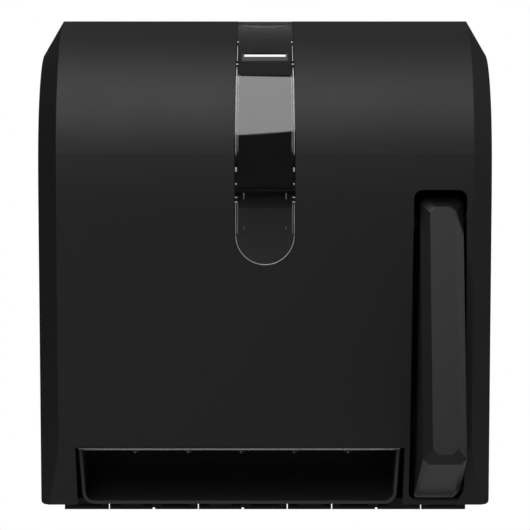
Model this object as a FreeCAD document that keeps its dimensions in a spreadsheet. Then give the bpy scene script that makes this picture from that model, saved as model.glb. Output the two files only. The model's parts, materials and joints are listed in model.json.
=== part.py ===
"""A wall-mounted lever dispenser for rolls of paper towel, 330 mm wide and 366 mm high.

The origin is the centre of the flat back face: +X to the right seen from the front, +Y to the
wall, +Z up. A rear tray carries the frames, the feed mechanism and the roll arms. An arched
cover closes over it and swings down about a hinge near its foot. A lever in the cover's slot
turns a toothed sector, which winds the feed roller through a pinion on a one-way ring.
"""

import FreeCAD, Part
import math
import operator
import os
from types import SimpleNamespace

import Sketcher

Vector = FreeCAD.Vector
Rotation = FreeCAD.Rotation
Placement = FreeCAD.Placement

# Every driving size in millimetres or degrees
SIZES = [
    # Casing
    ("case_width", 330, "outside width of the casing"),
    ("case_height", 366, "overall height with the foot rail"),
    ("case_depth", 206, "wall face to the front-most line of the cover"),
    ("foot_height", 7, "height of the foot rail below the casing"),
    ("chamfer_width", 14.6, "width of the side chamfer seen from the front"),
    ("chamfer_rise", 25, "depth of the side chamfer, square to the profile"),
    ("brow_radius", 280, "radius of the front below the arch"),
    ("front_lean", 8, "lean of the flat front, degrees"),
    ("kick_rise", 41.5, "height of the kick facet over the foot"),
    ("kick_lean", 25.7, "lean of the kick facet, degrees"),
    ("wall", 3, "wall of the cover and of the rear tray"),
    ("tray_depth", 22, "depth of the rear tray"),
    ("parting_gap", 0.5, "gap between the tray and the cover"),
    ("corner_round", 3, "round at the casing's lower corners"),
    ("overrun", 4, "how far a cutting shape runs past what it cuts"),
    # Wall fixing
    ("screw_span", 160, "sideways spacing of the wall screws"),
    ("screw_rise", 200, "vertical spacing of the wall screws"),
    ("screw_centre", 35, "height of the screw pattern's centre"),
    ("screw_hole", 5.5, "diameter of the wall screw holes"),
    ("slot_width", 36, "width of the hanging slot"),
    ("slot_height", 6, "height of the hanging slot"),
    ("slot_level", 18.4, "depth of the hanging slot's centre below the casing's top"),
    # Window
    ("window_half_foot", 21.7, "half width of the window at its round foot"),
    ("window_half_mid", 20.9, "half width of the window on the arch"),
    ("window_half_top", 19.7, "half width of the window at the top"),
    ("window_foot", 161.7, "depth of the centre of the window's round foot below the casing's top"),
    ("window_mid", 86, "depth below the casing's top where the window starts to narrow"),
    ("window_high", 22, "depth below the casing's top of the second narrowing"),
    ("window_rear", 62, "distance of the window's rear edge from the wall"),
    ("window_thick", 1.8, "thickness of the window"),
    ("window_gap", 0.25, "clearance round the window"),
    ("window_ledge", 2.3, "width of the ledge under the window's rim"),
    ("window_clear", 127, "depth below the casing's top where the clear opening ends"),
    ("key_width", 30.8, "width of the key slot in the window"),
    ("key_height", 2.6, "height of the key slot in the window"),
    ("key_level", 30.4, "depth of the key slot below the casing's top"),
    # Towel outlet
    ("notch_left", 26.8, "left edge of the outlet from the casing's side"),
    ("notch_right", 63.3, "right edge of the outlet from the casing's side"),
    ("notch_taper", 0.8, "narrowing of the outlet to its foot, each side"),
    ("notch_rise", 42.9, "height of the outlet's top edge over the casing's foot"),
    # Lever slot in the cover
    ("slot_left_low", 59.8, "left edge of the lever slot from the casing's side, at its foot"),
    ("slot_left_high", 57.6, "left edge of the lever slot from the casing's side, at its top"),
    ("slot_right", 19.5, "right edge of the lever slot from the casing's side"),
    ("slot_strip", 3.6, "height of the strip below the lever slot"),
    ("slot_top", 229.9, "height of the lever slot's top edge over the casing's foot"),
    ("slot_round", 6, "round of the lever slot's small corners"),
    ("slot_bevel", 4, "width of the slot's lower right bevel"),
    ("slot_bevel_rise", 7, "height of the slot's lower right bevel"),
    # Cover hinge
    ("hinge_deep", 54, "distance of the cover hinge behind the front-most line"),
    ("hinge_rise", 8, "height of the cover hinge over the casing's foot"),
    ("hinge_pin", 5, "diameter of the hinge pins"),
    ("hinge_boss", 11, "diameter of the hinge bosses"),
    ("hinge_arm", 7.6, "height of a hinge arm at its pin"),
    ("hinge_gap", 3.5, "gap between an arm and its boss"),
    ("pin_skin", 1.5, "cover wall left outside a hinge pin"),
    ("fit", 0.05, "radial clearance of a running fit"),
    # Foot tray
    ("foot_half", 15, "end of the foot tray from the casing's side"),
    ("foot_front", 94, "distance of the foot rail behind the front-most line"),
    ("foot_blocks", 9, "number of blocks along the foot rail"),
    ("foot_slit", 0.8, "gap between two blocks"),
    ("foot_window", 20.7, "width of a block's middle window"),
    ("foot_window_side", 6.4, "width of a block's two end windows"),
    ("foot_window_edge", 1.6, "distance of an end window from its gap"),
    ("foot_window_low", 2.7, "height of the windows over the rail's foot"),
    ("foot_window_rise", 2.6, "height of the windows"),
    ("foot_window_deep", 1.8, "depth of the windows"),
    ("foot_nick", 1.8, "width of a nick at a closed gap"),
    ("foot_nick_rise", 1.3, "height of a nick at a closed gap"),
    ("foot_floor", 2.5, "thickness of the foot floor"),
    ("foot_floor_low", 6, "height of the foot floor over the rail's foot"),
    # Sheet parts
    ("plate", 3, "thickness of the frame plates"),
    ("flange", 12, "width of a plate's flange on the back"),
    ("frame_right", 69.5, "inner face of the right frame from the casing's side"),
    ("frame_left", 31.3, "inner face of the left frame from the casing's side"),
    ("frame_foot", 45, "height of the frames' lower edge over the casing's foot"),
    ("frame_head", 228, "height of the right frame's upper edge over the casing's foot"),
    ("frame_clear", 8, "gap between the frames' lower corner and the cover's inner face"),
    ("frame_shoulder", 106, "height of the left frame's upper edge over the casing's foot"),
    # Chute
    ("chute_left", 28.4, "left outer face of the chute from the casing's side"),
    ("chute_right", 66, "right outer face of the chute from the casing's side"),
    ("chute_taper", 2.6, "narrowing of the chute to its foot, each side"),
    ("chute_wall", 2.3, "wall of the chute"),
    ("chute_lip", 18, "distance of the chute's lip behind the frames' lower corner"),
    ("chute_radius", 52.2, "radius of the chute's curved floor"),
    ("chute_round", 9, "round of the chute's lower corners"),
    # Feed mechanism
    ("feed_radius", 16, "radius of the feed roller's core"),
    ("grip_thick", 4, "thickness of the rubber grips"),
    ("grip_width", 26, "width of a rubber grip"),
    ("grip_count", 6, "number of grips"),
    ("core_left", 38, "left end of the feed roller's core from the casing's side"),
    ("core_right", 72, "right end of the feed roller's core from the casing's side"),
    ("shaft_radius", 3, "radius of the feed shaft"),
    ("bush_wall", 2, "wall of a feed bush"),
    ("bush_flange", 1.5, "flange of a feed bush"),
    ("knob_radius", 14, "radius of the thumb knob"),
    ("knob_width", 8, "width of the thumb knob"),
    ("knob_gap", 1, "gap between the knob and its bush"),
    ("knob_flutes", 18, "number of flutes on the knob"),
    ("flute_deep", 1.6, "depth of a flute"),
    ("pinch_radius", 10, "radius of the pinch roller"),
    ("sleeve_width", 16, "width of a pinch sleeve"),
    ("pinch_shaft", 2.5, "radius of the pinch shaft"),
    ("nip", 0.3, "gap between the two rollers"),
    ("block_width", 5.5, "width of a pinch block"),
    ("block_deep", 12, "depth of a pinch block"),
    ("block_high", 14, "height of a pinch block"),
    ("block_tongue", 7, "height of a block's tongue in the frame"),
    ("block_play", 0.3, "play round a pinch block"),
    ("pinch_travel", 2, "travel of the pinch blocks"),
    ("pinch_lug", 132, "distance of the spring lugs behind the front-most line"),
    ("lug_half", 6, "half height of a spring lug"),
    # Nose guide and tear bar
    ("nose_front", 3, "how far the nose guide stands out before the frames' lower corner"),
    ("nose_gap", 2, "gap between the nose guide's rear and the rubber grips"),
    ("nose_top", 58, "height of the nose guide's top over the casing's foot"),
    ("nose_round", 8, "run of the nose guide's sloping front"),
    ("nose_slope", 6, "height of the nose guide's front edge over the frames' foot"),
    ("finger_width", 5, "width of a stripping finger"),
    ("finger_gap", 1, "gap between a finger's tip and the feed roller's core"),
    ("finger_high", 6, "height of a stripping finger"),
    ("hook_drop", 3.2, "drop of the hooks that hold the tear bar"),
    ("hook_reach", 1, "how far the hooks stand out before the frames' lower corner"),
    ("hook_root", 10, "distance of the tear bar's rear edge behind the frames' lower corner"),
    ("bar_thick", 1.5, "thickness of the tear bar"),
    ("bar_reach", 6.2, "how far the teeth stand out before the frames' lower corner"),
    ("bar_teeth", 72, "number of teeth on the tear bar"),
    ("tooth_deep", 1.6, "depth of a tear bar tooth"),
    ("bar_drop", 2.6, "drop of the tear bar below the frames"),
    # Lever
    ("lever_left", 53, "left edge of the lever from the casing's side"),
    ("lever_right", 21.8, "right edge of the lever from the casing's side"),
    ("lever_face_left", 46, "left edge of the lever's face from the casing's side"),
    ("lever_face_right", 28.2, "right edge of the lever's face from the casing's side"),
    ("lever_corner", 4, "cut corner of the lever"),
    ("lever_corner_left", 1.2, "cut of the lower left corner at the rear"),
    ("lever_corner_right", 5, "cut of the lower right corner at the rear"),
    ("lever_top_deep", 4, "distance of the face's top behind the front-most line"),
    ("lever_top", 217.8, "height of the face's top over the casing's foot"),
    ("lever_lean", 12.8, "lean of the lever's face, degrees"),
    ("lever_length", 180.6, "length of the lever's face"),
    ("lever_bevel", 6, "depth of the lever's facets"),
    ("lever_bevel_top", 7.9, "length of the top end facet"),
    ("lever_bevel_foot", 6, "length of the lower end facet"),
    ("lever_deep", 92, "depth of the lever behind its face"),
    ("lever_draft_left", 2.5, "draft of the left wall at the rear"),
    ("lever_draft_foot", 10.4, "draft of the lower wall at the rear"),
    ("lever_wall", 2.5, "wall of the lever"),
    ("lever_rear_top", 56, "distance of the lever's rear behind the front-most line, at the top"),
    ("lever_rear_foot", 66, "distance of the lever's rear behind the front-most line, low down"),
    ("lever_rear_level", 36, "height of that low point over the casing's foot"),
    ("lever_heel_gap", 1.2, "gap between the lever's heel and the slot's foot"),
    ("lever_heel", 50, "distance of the lever's heel behind the front-most line"),
    ("pivot_deep", 41, "distance of the lever's pivot behind the front-most line"),
    ("pivot_level", 209, "height of the lever's pivot over the casing's foot"),
    ("pivot_radius", 4, "radius of the pivot pin"),
    ("pivot_boss", 7.5, "radius of the lever's pivot bosses"),
    ("lever_rib", 2, "thickness of the lever's inner ribs"),
    ("bracket_outer", 15.5, "outer face of the lever bracket from the casing's side"),
    ("bracket_round", 13, "half height of the bracket's end"),
    ("bracket_root", 28, "half height of the bracket at the back plate"),
    # Gears
    ("module", 1.25, "module of the sector and the pinion"),
    ("pinion_teeth", 12, "teeth of the pinion"),
    ("sector_teeth", 225, "teeth of a full ring of the sector"),
    ("sector_cut", 13, "teeth that the sector has"),
    ("sector_lead", 1, "teeth past the mesh line at rest"),
    ("sector_addendum", 0.85, "height of a sector tooth over its pitch line"),
    ("dedendum", 1.5, "depth of a tooth below its pitch line"),
    ("pressure", 20, "pressure angle, degrees"),
    ("backlash", 0.35, "backlash at the pitch line"),
    ("feed_deep", 81, "distance of the feed axis behind the front-most line"),
    ("gear_left", 65.5, "left face of the sector from the casing's side"),
    ("gear_right", 59.5, "right face of the sector from the casing's side"),
    ("pinion_left", 66.1, "left face of the pinion from the casing's side"),
    ("clutch_radius", 4.6, "outer radius of the one-way ring"),
    ("rim", 7, "depth of the sector's rim"),
    ("sector_hub", 11, "radius of the sector's hub"),
    ("sector_web", 2.5, "thickness of the sector's web"),
    # Springs
    ("lever_spring_radius", 3.6, "mean radius of the lever spring"),
    ("lever_spring_wire", 1, "wire of the lever spring"),
    ("lever_spring_turns", 6, "turns of the lever spring"),
    ("lever_spring_rear", 131, "distance of the spring's fixed end behind the front-most line"),
    ("lever_spring_front", 73, "distance of the spring's moving end behind the front-most line"),
    ("lever_spring_drop", 80, "depth of the spring below the pivot"),
    ("spring_post", 2.4, "radius of the spring's guide post"),
    ("spring_seat", 4.8, "radius of a spring seat"),
    ("seat_thick", 2, "thickness of a spring seat"),
    ("pinch_spring_radius", 2.4, "mean radius of a pinch spring"),
    ("pinch_spring_wire", 0.8, "wire of a pinch spring"),
    ("pinch_spring_turns", 3, "turns of a pinch spring"),
    # Roll holder
    ("roll_level", 103, "depth of the roll's axis below the casing's top"),
    ("roll_deep", 103, "distance of the roll's axis behind the front-most line"),
    ("roll_right", 80.8, "right end of the roll's space from the casing's side"),
    ("roll_left", 44.8, "left end of the roll's space from the casing's side"),
    ("hub_flange", 26, "radius of a hub's flange"),
    ("hub_flange_thick", 2.5, "thickness of a hub's flange"),
    ("hub_core", 18, "radius of a hub's core at the flange"),
    ("hub_tip", 15, "radius of a hub's core at its tip"),
    ("hub_length", 16, "length of a hub's core"),
    ("hub_wall", 2, "wall of a hub's core"),
    ("hub_spindle", 4, "radius of a hub's spindle"),
    ("hub_gap", 0.8, "gap between a hub and its arm"),
    ("arm_half_root", 22, "half height of a roll arm at the back"),
    ("arm_half_tip", 15, "half height of a roll arm at its tip"),
    ("arm_pin_deep", 14, "distance of the arm's pin from the wall"),
    ("arm_pin", 3, "radius of the arm's pin"),
    ("arm_barrel", 6, "radius of the arm's barrel"),
    ("arm_lug", 6, "height of a lug of the arm bracket"),
    ("arm_lug_gap", 0.3, "gap between a lug and the barrel"),
    # Latch
    ("latch_half", 3, "half depth of the latch bar"),
    ("latch_deep", 16, "distance of the latch bar from the wall"),
    ("latch_low", 13.5, "depth of the latch bar's foot below the casing's top"),
    ("latch_thick", 4, "height of the latch bar"),
    ("latch_tooth", 6, "width of a latch tooth"),
    ("latch_drop", 7.5, "length of a latch tooth"),
    ("latch_gap", 0.3, "gap between the latch bar and its guides"),
    ("guide_half", 26, "distance of a latch guide from the middle"),
    ("guide_width", 8, "width of a latch guide"),
    ("guide_low", 19.5, "depth of a latch guide's foot below the casing's top"),
    ("guide_high", 6, "depth of a latch guide's top below the casing's top"),
    ("keeper_centre", 55, "distance of a keeper from the middle"),
    ("keeper_width", 10, "width of a keeper"),
    ("keeper_low", 21.5, "depth of a keeper's foot below the casing's top"),
    ("keeper_thick", 4, "thickness of a keeper"),
    ("keeper_notch", 6, "depth of a keeper's notch"),
]

doc = FreeCAD.newDocument("TowelDispenser")
sheet = doc.addObject("Spreadsheet::Sheet", "Sizes")
for row, (alias, number, meaning) in enumerate(SIZES, start=1):
    sheet.set(f"A{row}", alias)
    sheet.set(f"B{row}", str(number))
    sheet.set(f"C{row}", meaning)
    sheet.setAlias(f"B{row}", alias)
doc.recompute()


# Arithmetic that keeps the expression beside the value

OPERATIONS = {"+": operator.add, "-": operator.sub, "*": operator.mul, "/": operator.truediv}


class Size:
    """A value together with the sheet expression that gives it."""

    def __init__(self, value, text):
        self.value = value
        self.text = text

    def __float__(self):
        return float(self.value)

    def __neg__(self):
        return Size(-self.value, f"(-{self.text})")

    def __add__(self, other):
        return combined(self, "+", other)

    def __radd__(self, other):
        return combined(other, "+", self)

    def __sub__(self, other):
        return combined(self, "-", other)

    def __rsub__(self, other):
        return combined(other, "-", self)

    def __mul__(self, other):
        return combined(self, "*", other)

    def __rmul__(self, other):
        return combined(other, "*", self)

    def __truediv__(self, other):
        return combined(self, "/", other)


def as_size(amount):
    """The amount as a Size, whether it is one already or a plain number."""
    if isinstance(amount, Size):
        return amount
    return Size(float(amount), repr(amount))


def combined(first, sign, second):
    """Two amounts joined by a sign, as a value and as an expression."""
    first = as_size(first)
    second = as_size(second)
    value = OPERATIONS[sign](first.value, second.value)
    return Size(value, f"({first.text} {sign} {second.text})")


def sine(angle):
    """Sine of an angle in degrees."""
    return Size(math.sin(math.radians(angle.value)), f"sin({angle.text} * 1 deg)")


def cosine(angle):
    """Cosine of an angle in degrees."""
    return Size(math.cos(math.radians(angle.value)), f"cos({angle.text} * 1 deg)")


def root(amount):
    """Square root of an amount."""
    return Size(math.sqrt(amount.value), f"sqrt({amount.text})")


d = SimpleNamespace(**{alias: Size(sheet.get(alias), f"Sizes.{alias}") for alias, _, _ in SIZES})
n = SimpleNamespace(**{alias: float(sheet.get(alias)) for alias, _, _ in SIZES})


def leaning_front(up):
    """Distance from the wall of the flat leaning front at a height."""
    start_deep = d.case_depth - d.brow_radius + d.brow_radius * cosine(d.front_lean)
    start_z = arch_z - d.brow_radius * sine(d.front_lean)
    return start_deep - (start_z - up) * sine(d.front_lean) / cosine(d.front_lean)


def placed(aliases, start, sign):
    """Turn sizes measured from a start into places measured from the origin."""
    for alias in aliases.split():
        place = combined(start, sign, getattr(d, alias))
        setattr(d, alias, place)
        setattr(n, alias, float(place))


# Sizes in the sheet that are measured from the casing or from the frames
half_width = d.case_width / 2
case_top = d.case_height / 2
case_foot = -(case_top - d.foot_height)
rail_foot = -case_top
arch_z = case_top - d.case_depth / 2
frame_low = case_foot + d.frame_foot
d.frame_reach = leaning_front(frame_low) - d.wall / cosine(d.front_lean) - d.frame_clear
n.frame_reach = float(d.frame_reach)
placed("notch_left notch_right slot_left_low slot_left_high slot_right foot_half", half_width, "-")
placed("frame_right frame_left chute_left chute_right core_left core_right", half_width, "-")
placed("lever_left lever_right lever_face_left lever_face_right bracket_outer", half_width, "-")
placed("gear_left gear_right pinion_left roll_right roll_left", half_width, "-")
placed("slot_level window_foot window_mid window_high window_clear key_level", case_top, "-")
placed("roll_level latch_low guide_low guide_high keeper_low", case_top, "-")
placed("slot_top frame_head frame_shoulder nose_top lever_top lever_rear_level pivot_level", case_foot, "+")
placed("hinge_deep foot_front pinch_lug pivot_deep feed_deep roll_deep", d.case_depth, "-")
placed("lever_top_deep lever_rear_top lever_rear_foot lever_heel", d.case_depth, "-")
placed("lever_spring_rear lever_spring_front", d.case_depth, "-")
placed("chute_lip hook_root", d.frame_reach, "-")
placed("nose_front hook_reach bar_reach", d.frame_reach, "+")

# Places that several pieces share
back_inner = -d.wall
tray_front = -d.tray_depth
cover_rear = tray_front - d.parting_gap
hinge_y = -d.hinge_deep
hinge_z = case_foot + d.hinge_rise
pivot_y = -d.pivot_deep
pivot_z = d.pivot_level
pinion_radius = d.module * d.pinion_teeth / 2
sector_radius = d.module * d.sector_teeth / 2
gear_centres = pinion_radius + sector_radius
feed_y = -d.feed_deep
feed_offset = d.pivot_deep - d.feed_deep
feed_z = pivot_z - root(gear_centres * gear_centres - feed_offset * feed_offset)
grip_radius = d.feed_radius + d.grip_thick
pinch_y = feed_y + grip_radius + d.pinch_radius + d.nip
nose_rear = d.feed_deep + grip_radius + d.nose_gap
finger_tip = d.feed_deep + d.feed_radius + d.finger_gap
frame_right_outer = d.frame_right + d.plate
frame_left_outer = -(d.frame_left + d.plate)
core_middle = (d.core_right - d.core_left) / 2
grip_pitch = (d.core_right + d.core_left - d.grip_width) / (d.grip_count - 1)
bracket_inner = d.bracket_outer - d.plate

# Fineness of the wound, toothed and curved forms
COIL_STEPS = 8
LOBE_STEPS = 8
WIRE_SIDES = 5
FLANK_STEPS = 2
ARC_STEPS = 6

# Turns of a polygonal round, in degrees
HALF_TURN = 180
LOBE_START = 270

NODES = []


def kept(obj, label):
    """Give a finished sub-part its label and list it for writing."""
    obj.Label = label
    NODES.append(obj)
    return obj


def bind(obj, path, amount):
    """Bind one property of an object to an amount."""
    obj.setExpression(path, as_size(amount).text)


# Primitives and booleans bound to the sheet

def block(name, x, y, z):
    """A box between two planes on each axis."""
    obj = doc.addObject("Part::Box", name)
    for axis, side, (low, high) in zip("xyz", ("Length", "Width", "Height"), (x, y, z)):
        bind(obj, f"Placement.Base.{axis}", low)
        bind(obj, side, high - low)
    return obj


ALONG = {
    "x": Rotation(Vector(0, 1, 0), 90),
    "y": Rotation(Vector(1, 0, 0), -90),
    "z": Rotation(),
}


def laid(obj, axis, centre, low):
    """Lay a primitive along an axis from a low end, centred on the other two axes."""
    obj.Placement = Placement(Vector(), ALONG[axis])
    others = [letter for letter in "xyz" if letter != axis]
    bind(obj, f"Placement.Base.{axis}", low)
    bind(obj, f"Placement.Base.{others[0]}", centre[0])
    bind(obj, f"Placement.Base.{others[1]}", centre[1])


def rod(name, axis, centre, radius, low, high):
    """A cylinder along an axis."""
    obj = doc.addObject("Part::Cylinder", name)
    laid(obj, axis, centre, low)
    bind(obj, "Radius", radius)
    bind(obj, "Height", high - low)
    return obj


def cone(name, axis, centre, radius_low, radius_high, low, high):
    """A cone along an axis."""
    obj = doc.addObject("Part::Cone", name)
    laid(obj, axis, centre, low)
    bind(obj, "Radius1", radius_low)
    bind(obj, "Radius2", radius_high)
    bind(obj, "Height", high - low)
    return obj


def joined(name, parts):
    """Several touching shapes as one."""
    obj = doc.addObject("Part::MultiFuse", name)
    obj.Shapes = parts
    obj.Refine = True
    return obj


def carved(name, base, tools):
    """A base with the tools cut out of it."""
    tool = tools[0] if len(tools) == 1 else joined(name + "_tools", tools)
    obj = doc.addObject("Part::Cut", name)
    obj.Base = base
    obj.Tool = tool
    obj.Refine = True
    return obj


# Bodies made from a sketch

def origin_plane(body, role):
    """The origin plane of a body with the given role."""
    for feature in body.Origin.OriginFeatures:
        if feature.Role == role:
            return feature
    raise ValueError(role)


def held_point(sketch, geometry, corner, point):
    """Tie one point of a sketch to its two coordinates."""
    for kind, amount in zip(("DistanceX", "DistanceY"), point):
        amount = as_size(amount)
        tie = Sketcher.Constraint(kind, -1, 1, geometry, corner, amount.value)
        index = sketch.addConstraint(tie)
        sketch.setExpression(f"Constraints[{index}]", amount.text)


def drawn_polygon(sketch, points):
    """A closed polygon through points, each tied to the sheet."""
    corners = [Vector(float(across), float(up), 0) for across, up in points]
    first = len(sketch.Geometry)
    for index, corner in enumerate(corners):
        following = corners[(index + 1) % len(corners)]
        sketch.addGeometry(Part.LineSegment(corner, following), False)
    for index, point in enumerate(points):
        following = first + (index + 1) % len(points)
        sketch.addConstraint(Sketcher.Constraint("Coincident", first + index, 2, following, 1))
        held_point(sketch, first + index, 1, point)


def drawn_circle(sketch, centre, radius):
    """A circle tied to the sheet."""
    middle = Vector(float(centre[0]), float(centre[1]), 0)
    index = sketch.addGeometry(Part.Circle(middle, Vector(0, 0, 1), float(radius)), False)
    held_point(sketch, index, 3, centre)
    tie = sketch.addConstraint(Sketcher.Constraint("Radius", index, float(radius)))
    bind(sketch, f"Constraints[{tie}]", radius)


def plate(name, plane, outline, holes, low, high):
    """A flat piece padded from a sketch, between two levels along the plane's axis.

    In the YZ plane the sketch runs along Y and Z, in the XZ plane along X and Z, and in the XY
    plane along X and Y. Holes are (centre, radius) circles or lists of corners.
    """
    body = doc.addObject("PartDesign::Body", name)
    sketch = body.newObject("Sketcher::SketchObject", name + "_outline")
    sketch.AttachmentSupport = [(origin_plane(body, plane + "_Plane"), "")]
    sketch.MapMode = "FlatFace"
    bind(sketch, "AttachmentOffset.Base.z", -high if plane == "XZ" else low)
    drawn_polygon(sketch, outline)
    for hole in holes:
        if isinstance(hole, tuple):
            drawn_circle(sketch, *hole)
        else:
            drawn_polygon(sketch, hole)
    pad = body.newObject("PartDesign::Pad", name + "_pad")
    pad.Profile = sketch
    bind(pad, "Length", high - low)
    return body


def lobed(centre, radius, root_points):
    """A plate outline that ends in a polygonal round on the wall's side of a centre."""
    points = list(root_points)
    for index in range(LOBE_STEPS + 1):
        turn = as_size(LOBE_START - HALF_TURN * index / LOBE_STEPS)
        points.append((centre[0] + radius * cosine(turn), centre[1] + radius * sine(turn)))
    return points


# Shapes made with plain geometry

def made(label, shape):
    """A sub-part whose shape is worked out here from the sheet's sizes."""
    obj = doc.addObject("Part::Feature", label)
    obj.Shape = shape.removeSplitter()
    obj.Placement = Placement()
    return kept(obj, label)


def polygon_face(points):
    """A flat face through corners in space."""
    corners = [Vector(*point) for point in points]
    return Part.Face(Part.makePolygon(corners + [corners[0]]))


def side_prism(outline, low, high):
    """A prism along X from an outline of (Y, Z) corners."""
    return polygon_face([(low, across, up) for across, up in outline]).extrude(Vector(high - low, 0, 0))


def front_prism(outline, front, rear):
    """A prism along Y from an outline of (X, Z) corners."""
    return polygon_face([(across, front, up) for across, up in outline]).extrude(Vector(0, rear - front, 0))


def slab(x, y, z):
    """A box between two planes on each axis."""
    return Part.makeBox(x[1] - x[0], y[1] - y[0], z[1] - z[0], Vector(x[0], y[0], z[0]))


def cylinder_x(radius, low, high, across, up):
    """A cylinder along X."""
    return Part.makeCylinder(radius, high - low, Vector(low, across, up), Vector(1, 0, 0))


def cylinder_y(radius, low, high, across, up):
    """A cylinder along Y."""
    return Part.makeCylinder(radius, high - low, Vector(across, low, up), Vector(0, 1, 0))


def rounded(solid, direction, radius, wanted):
    """Round the straight edges along a direction whose centres are wanted."""
    edges = []
    for edge in solid.Edges:
        if len(edge.Vertexes) != 2:
            continue
        run = edge.Vertexes[1].Point - edge.Vertexes[0].Point
        along = abs(run.normalize().dot(direction)) > 1 - 1e-6
        if along and wanted(edge.CenterOfMass):
            edges.append(edge)
    return solid.makeFillet(radius, edges)


# Casing

FRONT_TURN = math.radians(n.front_lean)
KICK_TURN = math.radians(n.kick_lean)
ARCH_RADIUS = n.case_depth / 2
ARCH_Z = n.case_height / 2 - ARCH_RADIUS
CASE_FOOT = float(case_foot)


def front_line(up, inset=0):
    """Distance along Y of the flat leaning front at a height."""
    reach = n.brow_radius - inset
    start_y = n.brow_radius - n.case_depth - reach * math.cos(FRONT_TURN)
    start_z = ARCH_Z - reach * math.sin(FRONT_TURN)
    return start_y + (start_z - up) * math.tan(FRONT_TURN)


def side_wire(across, inset, foot, rear):
    """The casing's side outline at one place along X, drawn in by an inset."""
    arch = ARCH_RADIUS - inset
    brow = n.brow_radius - inset
    brow_centre = n.brow_radius - n.case_depth

    def at(along, up):
        return Vector(across, along, up)

    def on_arc(centre, radius, turn):
        return at(centre + radius * math.cos(turn), ARCH_Z + radius * math.sin(turn))

    crown = at(-ARCH_RADIUS, ARCH_Z + arch)
    nose = at(-ARCH_RADIUS - arch, ARCH_Z)
    haunch = on_arc(-ARCH_RADIUS, arch, math.radians(135))
    lower = on_arc(brow_centre, brow, math.pi + FRONT_TURN)
    middle = on_arc(brow_centre, brow, math.pi + FRONT_TURN / 2)
    toe = at(front_line(foot, inset), foot)
    heel = at(rear, foot)
    head = at(rear, ARCH_Z + arch)
    return Part.Wire([
        Part.makeLine(head, crown),
        Part.Arc(crown, haunch, nose).toShape(),
        Part.Arc(nose, middle, lower).toShape(),
        Part.makeLine(lower, toe),
        Part.makeLine(toe, heel),
        Part.makeLine(heel, head),
    ])


def kick_wedge(inset, half):
    """What lies outside the kick facet, drawn in by an inset."""
    top_z = CASE_FOOT + n.kick_rise
    inward = (math.cos(KICK_TURN), math.sin(KICK_TURN))
    down = (math.sin(KICK_TURN), -math.cos(KICK_TURN))
    start = (front_line(top_z) + inset * inward[0], top_z + inset * inward[1])
    run = 2 * n.kick_rise

    def beside(along, outward):
        return (start[0] + along * down[0] - outward * inward[0],
                start[1] + along * down[1] - outward * inward[1])

    outline = [beside(-run, 0), beside(run, 0), beside(run, run), beside(-run, run)]
    return side_prism(outline, -half, half)


def casing(inset=0, foot=CASE_FOOT, rear=0):
    """The casing's solid form, drawn in by a wall all round."""
    slope = math.hypot(n.chamfer_width, n.chamfer_rise)
    shift = (slope - n.chamfer_width) / n.chamfer_rise * inset
    deep = n.chamfer_rise + (slope - n.chamfer_rise) / n.chamfer_width * inset
    side = n.case_width / 2 - inset
    front = n.case_width / 2 - n.chamfer_width - shift
    wires = [
        side_wire(-side, deep, foot, rear),
        side_wire(-front, inset, foot, rear),
        side_wire(front, inset, foot, rear),
        side_wire(side, deep, foot, rear),
    ]
    solid = Part.makeLoft(wires, True, True)
    return solid.cut(kick_wedge(inset, n.case_width))


BEHIND = n.case_width
OUTSIDE = casing()
INSIDE = casing(n.wall, CASE_FOOT - n.overrun, n.overrun)


def window_outline(grow):
    """The window seen from the front, as a wire, grown by a margin."""
    foot = n.window_half_foot + grow
    mid = n.window_half_mid + grow
    top = n.window_half_top + grow
    crown = n.case_height / 2
    front = -n.case_depth - n.overrun

    def at(across, up):
        return Vector(across, front, up)

    return Part.Wire([
        Part.Arc(at(-foot, n.window_foot), at(0, n.window_foot - foot), at(foot, n.window_foot)).toShape(),
        Part.makeLine(at(foot, n.window_foot), at(foot, n.window_mid)),
        Part.makeLine(at(foot, n.window_mid), at(mid, n.window_high)),
        Part.makeLine(at(mid, n.window_high), at(top, crown)),
        Part.makeLine(at(top, crown), at(top, crown + n.overrun)),
        Part.makeLine(at(top, crown + n.overrun), at(-top, crown + n.overrun)),
        Part.makeLine(at(-top, crown + n.overrun), at(-top, crown)),
        Part.makeLine(at(-top, crown), at(-mid, n.window_high)),
        Part.makeLine(at(-mid, n.window_high), at(-foot, n.window_mid)),
        Part.makeLine(at(-foot, n.window_mid), at(-foot, n.window_foot)),
    ])


def window_prism(grow):
    """The window's outline carried back to its rear edge."""
    reach = n.case_depth + n.overrun - n.window_rear + grow
    return Part.Face(window_outline(grow)).extrude(Vector(0, reach, 0))


def window_skin(grow):
    """The layer of the casing that the window fills."""
    return OUTSIDE.common(window_prism(grow)).cut(casing(n.window_thick, CASE_FOOT, 0))


def lever_slot_tool():
    """The cutting shape of the lever slot."""
    foot = CASE_FOOT + n.slot_strip
    outline = [
        (n.slot_left_low, foot),
        (n.slot_right - n.slot_bevel, foot),
        (n.slot_right, foot + n.slot_bevel_rise),
        (n.slot_right, n.slot_top),
        (n.slot_left_high, n.slot_top),
    ]
    tool = front_prism(outline, -n.case_depth - n.overrun, -n.lever_rear_foot)
    sharp = foot + n.slot_bevel_rise / 2

    def small_corner(point):
        return point.z > sharp or point.x < n.lever_left

    return rounded(tool, Vector(0, 1, 0), n.slot_round, small_corner)


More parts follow.
